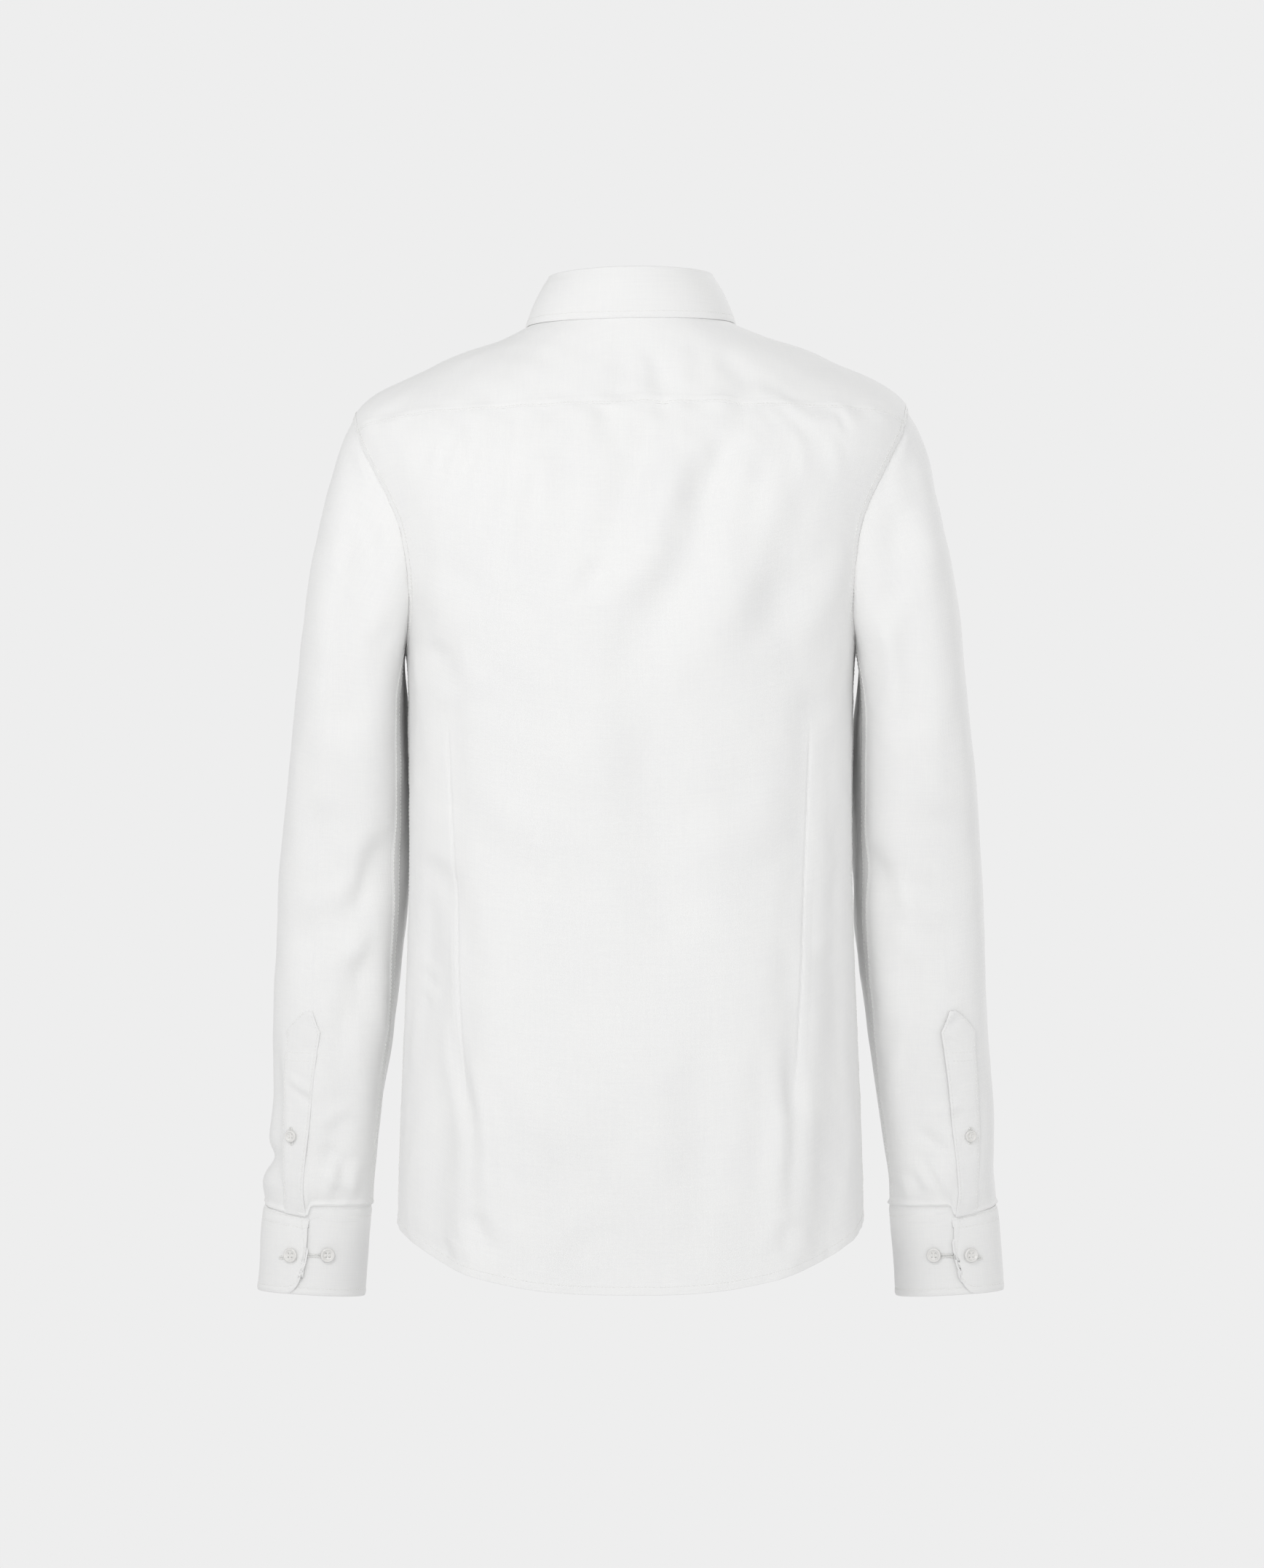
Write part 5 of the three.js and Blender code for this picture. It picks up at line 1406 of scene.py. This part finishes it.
ARMHOLE_STITCH_POINTS = 181
ARMHOLE_STITCH_WIDER = 1.085  # than the armhole
ARMHOLE_STITCH_LIFT = 0.45


def make_armhole_stitching(side, mirrored):
    turns = np.linspace(0, 360, ARMHOLE_STITCH_POINTS)
    turn, level = widened_armhole(turns, ARMHOLE_STITCH_WIDER)
    row = stitch_line(body_point(turn, level, ARMHOLE_STITCH_LIFT), body_normal(turn, level))
    sewn_object(f"armhole_{side}_stitching", [row], THREAD, mirrored)


# Cuffs

CUFF_HEIGHT = 70.0
CUFF_STEP = 2.2
CUFF_END_MARKS = np.array([0.04, 0.18])  # close columns, in millimetres, for the rounded corners
CUFF_END_MARKS_CLOSEST = 0.02
CUFF_BULGE_LOW = 0.8  # under 1, the free edge bows out most below the middle
CUFF_BULGE_REACH = 26.0
CUFF_LAP_PRESSED = 0.35  # of the lap, what the seam presses flat at the cuff's top
CUFF_LAP_PRESSED_UP = 0.8
CUFF_TOP_DIP_UP = 0.94
CUFF_EDGE_FOLD = 5.6
CUFF_TOP_STITCH_IN = 1.4
CUFF_BAND_STITCH_IN = 9.0
CUFF_LOW_Z = -748.0
CUFF_BUTTONHOLE_LENGTH = 13.0
CUFF_BUTTONHOLES = (CUFF_BUTTON_OUTER + 3.0, CUFF_BUTTON_INNER + 360 + 14.0)


def cuff_point(turn, up, lift=0.0):
    """A place on a cuff's outer layer, which laps over itself: up runs from its lower edge to its top."""
    near_edge = 1 - ease(turn, CUFF_EDGE, CUFF_EDGE + CUFF_BULGE_REACH)
    bulge = CUFF_EDGE_BULGE * np.sin(math.pi * up ** CUFF_BULGE_LOW) * near_edge
    outward = -np.cos(radians(turn - bulge))
    back = np.sin(radians(turn - bulge))
    lap = CUFF_LAP_LIFT * (1 - ease(turn, CUFF_LAP_FLAT, CUFF_LAP_GONE))
    lap = lap * (1 - CUFF_LAP_PRESSED * ease(up, CUFF_LAP_PRESSED_UP, 1.0))
    from_end = np.minimum(turn - CUFF_EDGE, CUFF_EDGE + CUFF_TURN - turn) * (CUFF_GIRTH / 360)
    short = np.clip(1 - from_end / CUFF_CORNER_WIDE, 0, 1)
    corner = CUFF_CORNER_HIGH * (1 - np.sqrt(1 - short ** 2))
    bottom_z = mix(CUFF["bottom_inner_z"], CUFF["bottom_outer_z"], (1 + outward) / 2) + corner
    top_z = CUFF["top_z"] - cuff_slant(turn % 360)
    outer_x = mix(CUFF["bottom_outer_x"], CUFF["top_outer_x"], up)
    inner_x = mix(CUFF["bottom_inner_x"], CUFF["top_inner_x"], up)
    reach = lap + lift - CUFF_TOP_DIP * ease(up, CUFF_TOP_DIP_UP, 1.0)
    return points_of(
        (outer_x + inner_x) / 2 + ((outer_x - inner_x) / 2 + reach) * outward,
        CUFF["centre_y"] + (CUFF["depth"] + reach) * back,
        mix(bottom_z, top_z, up),
    )


def make_cuff(side, mirrored, seed):
    length = CUFF_TURN * CUFF_GIRTH / 360
    ends = CUFF_END_MARKS / length
    ends = np.concatenate([ends, 1 - ends[::-1]])
    shares = joined_marks(spaced(length, step=CUFF_STEP), ends, CUFF_END_MARKS_CLOSEST / length)
    tt, uu = np.meshgrid(CUFF_EDGE + CUFF_TURN * shares, spaced(CUFF_HEIGHT, step=CUFF_STEP))
    grid = cuff_point(tt, uu)
    away = edge_distances(grid)
    sides = np.minimum(np.minimum(away["left"], away["right"]), away["bottom"])
    height = 0.45 * ripples(grid, seed, 60.0) + 0.16 * ripples(grid, seed + 1, 22.0)
    height += turned_edge(sides, CUFF_EDGE_FOLD, 0.35) + stitch_relief(sides, EDGE_STITCH_IN, depth=0.45)
    height += stitch_relief(away["top"], CUFF_TOP_STITCH_IN, depth=0.3)
    height += stitch_relief(away["top"], CUFF_BAND_STITCH_IN, depth=0.45)
    height += seam_pucker(grid, away["top"], seed + 2, high=0.22, reach=11, pitch=12)
    height -= rolled_edge(sides, 0.5, 1.6) + rolled_edge(away["top"], 0.35, 1.2)
    outer = raised(grid, height)
    piece = make_wall(f"cuff_{side}_band", outer, CUFF_CLOTH, FUSED_SHIRTING, mirrored=mirrored, rim_steps=4)
    dress(piece, f"cuff_{side}")
    parts = stitched_edges(
        outer,
        ("bottom", EDGE_STITCH_IN),
        ("left", EDGE_STITCH_IN),
        ("right", EDGE_STITCH_IN),
        ("top", CUFF_BAND_STITCH_IN),
        ("top", CUFF_TOP_STITCH_IN),
    )
    up = (CUFF_BUTTON_Z - CUFF_LOW_Z) / CUFF_HEIGHT
    for turn in CUFF_BUTTONHOLES:
        normal = normal_of(cuff_point, turn, up, TURN_STEP, UP_STEP)
        ahead = cuff_point(turn + 1, up) - cuff_point(turn - 1, up)
        parts.append(buttonhole(cuff_point(turn, up, 0.5), normal, ahead, CUFF_BUTTONHOLE_LENGTH))
    sewn_object(f"cuff_{side}_stitching", parts, THREAD, mirrored)


# Gauntlet plackets

PLACKET_WIDTH = 24.0
PLACKET_COLUMN_STEP = 1.6
PLACKET_LENGTH = 165.0
PLACKET_ROW_STEP = 2.4
PLACKET_TIP_ROWS = 12
PLACKET_TIP_SWAY = 0.75  # of the free edge's sway, what the tip takes with it
PLACKET_EDGE_REACH = 6.0
PLACKET_STITCH_IN = 1.4
PLACKET_CLOSED_DENT = 0.5
PLACKET_CLOSED_HALF = 2.2
PLACKET_CLOSED_ROWS = 2  # between the two rows of stitches that close it
PLACKET_BUTTONHOLE_LENGTH = 12.0
PLACKET_BUTTONHOLE_LIFT = 0.35
ACROSS_SEAMS = slice(2, -2)


def make_placket(side, mirrored, back_creases, seed):
    half = (PLACKET_TO - PLACKET_FROM) / 2
    middle = (PLACKET_FROM + PLACKET_TO) / 2
    across = 2 * spaced(PLACKET_WIDTH, step=PLACKET_COLUMN_STEP) - 1
    body_rows = mix(PLACKET_BOTTOM_ROW, PLACKET_SHOULDER_ROW, spaced(PLACKET_LENGTH, step=PLACKET_ROW_STEP))
    tip_rows = np.linspace(PLACKET_SHOULDER_ROW, PLACKET_TIP_ROW, PLACKET_TIP_ROWS)[1:]
    aa, rr = np.meshgrid(across, np.concatenate([body_rows, tip_rows]))
    tip = np.clip((PLACKET_SHOULDER_ROW - rr) / (PLACKET_SHOULDER_ROW - PLACKET_TIP_ROW), 0, 1)
    turn = middle + aa * half * mix(1.0, PLACKET_TIP_SHARE, tip)
    at = np.interp(rr, PLACKET_EDGE_ROWS, np.arange(len(PLACKET_EDGE_ROWS)))
    sway = smooth_through(PLACKET_EDGE_SWAY, at)
    turn += sway * np.maximum((1 - aa) / 2, PLACKET_TIP_SWAY * tip)
    lift = PLACKET_LIFT + PLACKET_CLOTH
    grid = sleeve_point(turn, rr, back_creases, lift)
    away = edge_distances(grid)
    sides = np.minimum(away["left"], away["right"])
    height = 0.35 * ripples(grid, seed, 26.0) + 0.15 * ripples(grid, seed + 1, 9.0)
    height += stitch_relief(sides, PLACKET_STITCH_IN, depth=0.3) - rolled_edge(sides, 0.3, 1.2)
    height += PLACKET_EDGE_STANDS * (1 - ease(away["left"], 0, PLACKET_EDGE_REACH))
    from_closed = (grid[..., 2] - PLACKET_CLOSED_Z) / PLACKET_CLOSED_HALF
    height -= PLACKET_CLOSED_DENT * np.exp(-(from_closed ** 2))
    outer = raised(grid, height)
    piece = make_wall(f"placket_{side}_strip", outer, PLACKET_CLOTH, FUSED_SHIRTING, mirrored=mirrored)
    dress(piece, f"placket_{side}")
    parts = stitched_edges(outer, ("left", PLACKET_STITCH_IN), ("right", PLACKET_STITCH_IN))
    normals = grid_normals(outer)
    closing = int(np.argmin(np.abs(outer[:, len(across) // 2, 2] - PLACKET_CLOSED_Z)))
    for row in (closing, closing - PLACKET_CLOSED_ROWS):
        parts.append(stitch_line(outer[row, ACROSS_SEAMS], normals[row, ACROSS_SEAMS]))
    place = (np.array(middle), np.array(row_at(middle, PLACKET_BUTTON_Z)))
    hole = sleeve_point(*place, back_creases, lift + PLACKET_BUTTONHOLE_LIFT)
    parts.append(buttonhole(hole, sleeve_normal(*place), UPRIGHT, PLACKET_BUTTONHOLE_LENGTH))
    sewn_object(f"placket_{side}_stitching", parts, THREAD, mirrored)


# Collar

STAND_LENGTH = 450.0
STAND_COLUMN_STEP = 2.8
STAND_BAND = 30.0
STAND_ROW_STEP = 2.0
STAND_BELOW_SEAM = -0.6
STAND_STITCH_IN = 1.6
LEAF_LENGTH = 470.0
LEAF_COLUMN_STEP = 2.7
LEAF_FALL = 48.0
LEAF_FALL_STEP = 2.2
LEAF_FOLD_STEPS = 10
LEAF_INSIDE_LEGS = (3.2, 4.5, LEAF_INSIDE_LEG)  # down from the fold, on the inside
LEAF_FOLD_CLEAR = 14.0  # from the leaf's inside edge, over the fold to where its ripples start
LEAF_EDGE_RIPPLES = 0.3
LEAF_EDGE_RIPPLES_REACH = 12.0
LEAF_EDGE_FOLD = 5.8


def fold_point(turn):
    """The line on which the collar folds over, round the neck."""
    middle = np.cos(radians(turn))
    base = body_base(turn, np.full(np.shape(turn), NECK_LEVEL))
    height = mix(STAND_HEIGHT_BACK, STAND_HEIGHT_FRONT, (1 - middle) / 2)
    depth = np.where(middle >= 0, FOLD_BACK_Y, -FOLD_FRONT_Y)
    return points_of(FOLD_HALF_WIDTH * np.sin(radians(turn)), depth * middle, base[..., 2] + height)


def stand_surface(turn, up):
    """The stand's outer face, from the neck seam at 0 up to the fold at 1."""
    base = body_base(turn, np.full(np.shape(turn), NECK_LEVEL))
    return mix(base, fold_point(turn), np.asarray(up)[..., None])


def stand_normal(turn, up):
    return normal_of(stand_surface, turn, up, TURN_STEP, UP_STEP)


def stand_lap(turn):
    """The stand's left end lies over its right one."""
    return np.where(turn > 0, overlap_lift(stand_surface(turn, 0.5 + 0 * turn)[..., 0]), 0.0)


def stand_point(turn, up, lift=0.0):
    return stand_surface(turn, up) + stand_normal(turn, up) * np.asarray(lift + stand_lap(turn))[..., None]


def make_stand():
    end = 180 + float(front_edge(NECK_LEVEL))
    turns = end * (2 * spaced(STAND_LENGTH, step=STAND_COLUMN_STEP) - 1)
    tt, share = np.meshgrid(turns, spaced(STAND_BAND, step=STAND_ROW_STEP))
    height = np.linalg.norm(stand_surface(tt, 0 * tt) - fold_point(tt), axis=-1)
    from_end = radians(end - np.abs(tt)) * FOLD_HALF_WIDTH
    short = np.clip(STAND_CORNER - from_end, 0, STAND_CORNER)
    corner = STAND_CORNER - np.sqrt(STAND_CORNER ** 2 - short ** 2)
    top = height - STAND_BELOW_FOLD - corner
    grid = stand_point(tt, mix(STAND_BELOW_SEAM, top, share) / height)
    away = edge_distances(grid)
    relief = 0.25 * ripples(grid, 40, 45.0)
    relief += stitch_relief(away["bottom"], STAND_STITCH_IN, depth=0.22)
    relief += stitch_relief(away["top"], EDGE_STITCH_IN, depth=0.15)
    relief -= rolled_edge(away["top"], 0.3, 1.0)
    outer = raised(grid, relief)
    piece = make_wall("collar_stand_band", outer, COLLAR_CLOTH, FUSED_SHIRTING)
    dress(piece, "collar_stand")
    seams = (("bottom", STAND_STITCH_IN), ("left", EDGE_STITCH_IN), ("right", EDGE_STITCH_IN))
    place = (np.array(180.0), np.array(COLLAR_BUTTON_UP))
    hole = buttonhole(stand_point(*place, 0.3), stand_normal(*place), SIDEWAYS, BUTTONHOLE_LENGTH)
    sewn_object("collar_stand_stitching", [*stitched_edges(outer, *seams), hole], THREAD)


def leaf_profile(share, fall_steps):
    """Points across the fall from its lower edge up, over the fold and down inside to the stand's top."""
    fold_turn = LEAF_FOLD_END * share
    edge_turn = LEAF_EDGE_END * share
    fold = fold_point(fold_turn)
    outward = stand_normal(fold_turn, 0.9 + 0 * fold_turn)
    across_middle = LEAF_FOLD_RADIUS - COLLAR_CLOTH
    arc = []
    for angle in np.linspace(0, math.pi, LEAF_FOLD_STEPS + 1):
        across = across_middle + LEAF_FOLD_RADIUS * math.cos(angle)
        arc.append(fold + outward * across - UPRIGHT * LEAF_FOLD_RADIUS * (1 - math.sin(angle)))
    at = np.interp(np.abs(edge_turn), LEAF_EDGE_TURNS, np.arange(len(LEAF_EDGE_TURNS)))
    edge_level = smooth_through(LEAF_EDGE_LEVELS, at)
    edge = body_point(edge_turn, edge_level, LEAF_CLEARANCE + COLLAR_CLOTH)
    fall = []
    for step in fall_steps[:-1]:
        belly = LEAF_BELLY * 4 * step * (1 - step)
        fall.append(mix(edge, arc[0], step) + outward * belly)
    inside = [fold - outward * COLLAR_CLOTH - UPRIGHT * leg for leg in LEAF_INSIDE_LEGS]
    return np.stack([*fall, *arc, *inside])


def make_leaf():
    shares = 2 * spaced(LEAF_LENGTH, step=LEAF_COLUMN_STEP) - 1
    fall_steps = spaced(LEAF_FALL, step=LEAF_FALL_STEP, end=False)
    outer = leaf_profile(shares, fall_steps)
    away = edge_distances(outer)
    rim = np.minimum(np.minimum(away["left"], away["right"]), away["bottom"])
    height = 0.35 * ripples(outer, 44, 70.0) + 0.12 * ripples(outer, 45, 20.0)
    height *= mix(LEAF_EDGE_RIPPLES, 1.0, ease(rim, 0, LEAF_EDGE_RIPPLES_REACH))
    height *= away["top"] > LEAF_FOLD_CLEAR
    height += turned_edge(rim, LEAF_EDGE_FOLD, 0.2) + stitch_relief(rim, EDGE_STITCH_IN, depth=0.28)
    height -= rolled_edge(rim, 0.4, 1.4)
    outer = raised(outer, height)
    piece = make_wall("collar_leaf_fall", outer, COLLAR_CLOTH, FUSED_SHIRTING, rim_steps=4)
    dress(piece, "collar_leaf")
    seams = [(edge, EDGE_STITCH_IN) for edge in ("bottom", "left", "right")]
    sewn_object("collar_leaf_stitching", stitched_edges(outer[:len(fall_steps)], *seams), THREAD)


# Buttons

BUTTON_PROFILE = (  # out from the middle and up: the back, the rim and the dished face
    (0.0, 0.0), (4.6, 0.0), (5.3, 0.35), (5.6, 0.95), (5.6, 1.5), (5.35, 2.1), (4.95, 2.45),
    (4.5, 2.5), (4.1, 2.3), (3.7, 1.85), (3.2, 1.6), (2.4, 1.5), (1.2, 1.46), (0.0, 1.45),
)
BUTTON_SIDES = 40
HOLE_OFFSET = 1.35
HOLE_RADIUS = 0.62
HOLE_SIDES = 12
DRILL_FROM = -1.0
DRILL_TO = 4.0
THREAD_BAR_UP = 0.62  # of the button's thickness
THREAD_BAR_LENGTH = 3.6
THREAD_BAR_RADIUS = 0.5
SHANK_UP = -0.2
SHANK_LENGTH = 1.6
SHANK_RADIUS = 1.5
COLLAR_BUTTON_STANDS = 0.5
FRONT_BUTTON_STANDS = 0.35
CUFF_BUTTON_STANDS = 0.9
GAUNTLET_BUTTON_STANDS = 0.6


def ring_points(x, y, up, radius, sides):
    angles = [2 * math.pi * side / sides for side in range(sides)]
    return [(x + radius * math.cos(angle), y + radius * math.sin(angle), up) for angle in angles]


def ring_faces(low, high, sides):
    """The faces between two rings of points, from where each starts."""
    around = [(side, (side + 1) % sides) for side in range(sides)]
    return [(low + side, low + ahead, high + ahead, high + side) for side, ahead in around]


def button_blank():
    points = [(0.0, 0.0, BUTTON_PROFILE[0][1])]
    faces = [(0, 1 + (side + 1) % BUTTON_SIDES, 1 + side) for side in range(BUTTON_SIDES)]
    for across, up in BUTTON_PROFILE[1:-1]:
        points += ring_points(0.0, 0.0, up, across, BUTTON_SIDES)
    last = len(points) - BUTTON_SIDES
    for low in range(1, last, BUTTON_SIDES):
        faces += ring_faces(low, low + BUTTON_SIDES, BUTTON_SIDES)
    faces += [(last + side, last + (side + 1) % BUTTON_SIDES, len(points)) for side in range(BUTTON_SIDES)]
    points.append((0.0, 0.0, BUTTON_PROFILE[-1][1]))
    return make_object("button_blank", np.array(points), faces, [RESIN])


def button_drill():
    points = []
    faces = []
    for x in (-HOLE_OFFSET, HOLE_OFFSET):
        for y in (-HOLE_OFFSET, HOLE_OFFSET):
            low = len(points)
            high = low + HOLE_SIDES
            for up in (DRILL_FROM, DRILL_TO):
                points += ring_points(x, y, up, HOLE_RADIUS, HOLE_SIDES)
            faces.append(tuple(reversed(range(low, high))))
            faces.append(tuple(range(high, high + HOLE_SIDES)))
            faces += ring_faces(low, high, HOLE_SIDES)
    return make_object("button_drill", np.array(points), faces, [RESIN])


def button_master():
    """Points and faces of a four-hole button of radius 1: raised rim, dished middle, drilled holes."""
    body = button_blank()
    drill = button_drill()
    cut = body.modifiers.new("holes", "BOOLEAN")
    cut.operation = "DIFFERENCE"
    cut.solver = "EXACT"
    cut.object = drill
    evaluated = body.evaluated_get(bpy.context.evaluated_depsgraph_get())
    drilled = bpy.data.meshes.new_from_object(evaluated)
    for leftover in (body, drill):
        bpy.data.objects.remove(leftover, do_unlink=True)
    vertices = np.array([vertex.co[:] for vertex in drilled.vertices]) / MM / BUTTON_RADIUS
    return vertices, [tuple(face.vertices) for face in drilled.polygons]


BUTTON_POINTS, BUTTON_FACES = button_master()


def make_button(name, node, centre, normal, radius, mirrored=False):
    """A button, sewn on with two bars of thread."""
    if mirrored:
        centre = centre * MIRRORED
        normal = normal * MIRRORED
    centre = settled(centre)
    normal = unit(normal)
    up = unit(UPRIGHT - normal * np.dot(UPRIGHT, normal))
    across = np.cross(up, normal)
    turn = np.stack([across, up, normal])
    scale = radius / BUTTON_RADIUS
    disc = BUTTON_POINTS * radius @ turn + centre
    aside = HOLE_OFFSET * scale
    above = THREAD_BAR_UP * BUTTON_THICK * scale
    bars = np.array([[-aside, 0.0, above], [aside, 0.0, above]]) @ turn + centre
    thread_points, thread_faces = beads(bars, np.tile(up, (2, 1)), np.tile(normal, (2, 1)),
                                        THREAD_BAR_LENGTH, THREAD_BAR_RADIUS)
    shank = np.array([[0.0, 0.0, SHANK_UP]]) @ turn + centre
    shank_points, shank_faces = beads(shank, normal[None], up[None], SHANK_LENGTH, SHANK_RADIUS)
    points = np.concatenate([disc, thread_points, shank_points])
    faces = list(BUTTON_FACES)
    faces += [tuple(face + len(disc)) for face in thread_faces]
    faces += [tuple(face + len(disc) + len(thread_points)) for face in shank_faces]
    kinds = [0] * len(BUTTON_FACES) + [1] * (len(thread_faces) + len(shank_faces))
    made = make_object(name, points, faces, [RESIN, THREAD], face_materials=kinds)
    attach(made, "root")
    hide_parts(node)


def make_buttons():
    place = (np.array(180.0), np.array(COLLAR_BUTTON_UP))
    make_button("collar_stand_button", "collar_button", stand_point(*place, COLLAR_BUTTON_STANDS),
                stand_normal(*place), BUTTON_RADIUS)
    for number in range(FRONT_BUTTON_COUNT):
        centre, normal = front_button_place(number)
        make_button(f"placket_front_button_{number + 1}", f"front_button_{number + 1}",
                    centre + normal * FRONT_BUTTON_STANDS, normal, BUTTON_RADIUS)
    for side, mirrored, back_creases in SIDES:
        for number, turn in enumerate((CUFF_BUTTON_OUTER, CUFF_BUTTON_INNER + 360)):
            bottom = cuff_point(turn, 0.0)[2]
            up = (CUFF_BUTTON_Z - bottom) / (cuff_point(turn, 1.0)[2] - bottom)
            normal = normal_of(cuff_point, turn, up, TURN_STEP, UP_STEP)
            make_button(f"wrist_button_{side}_{number + 1}", f"cuff_button_{side}_{number + 1}",
                        cuff_point(turn, up, CUFF_BUTTON_STANDS), normal, BUTTON_RADIUS, mirrored)
        middle = (PLACKET_FROM + PLACKET_TO) / 2
        place = (np.array(middle), np.array(row_at(middle, PLACKET_BUTTON_Z)))
        lift = PLACKET_LIFT + PLACKET_CLOTH + GAUNTLET_BUTTON_STANDS
        make_button(f"gauntlet_button_{side}", f"placket_button_{side}",
                    sleeve_point(*place, back_creases, lift), sleeve_normal(*place),
                    PLACKET_BUTTON_RADIUS, mirrored)


FRONT_LEFT_SEED = 20  # each front, sleeve, cuff and placket has its own uneven cloth
FRONT_RIGHT_SEED = 24
SLEEVE_SEEDS = (60, 70)
CUFF_SEEDS = (80, 90)
PLACKET_SEEDS = (84, 94)

make_back()
make_front("front_left", True, FRONT_LEFT_SEED)
make_front("front_right", False, FRONT_RIGHT_SEED)
make_yoke()
make_stand()
make_leaf()
for number, (side, mirrored, back_creases) in enumerate(SIDES):
    make_sleeve(side, mirrored, back_creases, SLEEVE_SEEDS[number])
    make_armhole_stitching(side, mirrored)
    make_cuff(side, mirrored, CUFF_SEEDS[number])
    make_placket(side, mirrored, back_creases, PLACKET_SEEDS[number])
make_buttons()


# Studio

CAMERA_PLACE = (-0.001, 5.0, -0.353)
CAMERA_LENS = 149.2
SENSOR_WIDTH = 36.0
BACKGROUND = "EEEEEE"
LEVEL_GLOW = 1.0  # soft light from all round, and less of it from above and below
STEEP_GLOW = 0.65
GLOW_FADE = (0.3, 0.6)
LIGHT_AIM = (0.0, 0.0, -0.35)
LIGHTS = (  # name, place, size across and watts
    ("key", (0.75, 1.8, 0.65), 0.8, 8.0),
    ("back_fill_right", (-1.3, 4.2, 0.1), 1.4, 12.5),
    ("back_fill_left", (1.2, 4.2, 0.1), 1.4, 8.0),
    ("top", (0.9, 0.7, 1.9), 1.6, 1.5),
    ("front_key", (-2.2, -3.4, 1.6), 1.8, 44.0),
)
FLOOR_Z = -1.45
FLOOR_RADIUS = 3.1
FLOOR_SIDES = 96


def make_camera(scene):
    camera_data = bpy.data.cameras.new("camera")
    camera_data.lens = CAMERA_LENS
    camera_data.sensor_width = SENSOR_WIDTH
    camera = bpy.data.objects.new("camera", camera_data)
    camera.location = CAMERA_PLACE
    camera.rotation_euler = (math.pi / 2, 0.0, math.pi)
    scene.collection.objects.link(camera)
    scene.camera = camera


def make_world(scene):
    world = bpy.data.worlds.new("studio")
    world.use_nodes = True
    world.node_tree.nodes.clear()
    tree = world.node_tree
    place = add_node(tree, "ShaderNodeTexCoord").outputs["Generated"]
    split = add_node(tree, "ShaderNodeSeparateXYZ", sockets={"Vector": place})
    steep = add_node(tree, "ShaderNodeMath", {"operation": "ABSOLUTE"}, {0: split.outputs["Z"]})
    level = add_node(tree, "ShaderNodeMapRange", sockets={
        "Value": steep.outputs["Value"], "From Min": GLOW_FADE[0], "From Max": GLOW_FADE[1],
        "To Min": LEVEL_GLOW, "To Max": STEEP_GLOW})
    glow = add_node(tree, "ShaderNodeBackground", sockets={
        "Color": linear(BACKGROUND), "Strength": level.outputs["Result"]})
    add_node(tree, "ShaderNodeOutputWorld", sockets={"Surface": glow.outputs["Background"]})
    scene.world = world


def make_lights(scene):
    for name, place, size, watts in LIGHTS:
        data = bpy.data.lights.new(name, "AREA")
        data.shape = "DISK"
        data.size = size
        data.energy = watts
        lamp = bpy.data.objects.new(name, data)
        lamp.location = place
        aim = Vector(LIGHT_AIM) - Vector(place)
        lamp.rotation_euler = aim.to_track_quat("-Z", "Y").to_euler()
        scene.collection.objects.link(lamp)


def make_floor(scene):
    mesh = bpy.data.meshes.new("studio_floor")
    rim = ring_points(0.0, 0.0, FLOOR_Z, FLOOR_RADIUS, FLOOR_SIDES)
    mesh.from_pydata(rim, [], [tuple(range(FLOOR_SIDES))])
    mesh.materials.append(make_floor_paper())
    floor = bpy.data.objects.new("studio_floor", mesh)
    scene.collection.objects.link(floor)


studio = bpy.context.scene
studio.view_settings.view_transform = "Standard"
make_camera(studio)
make_world(studio)
make_lights(studio)
make_floor(studio)
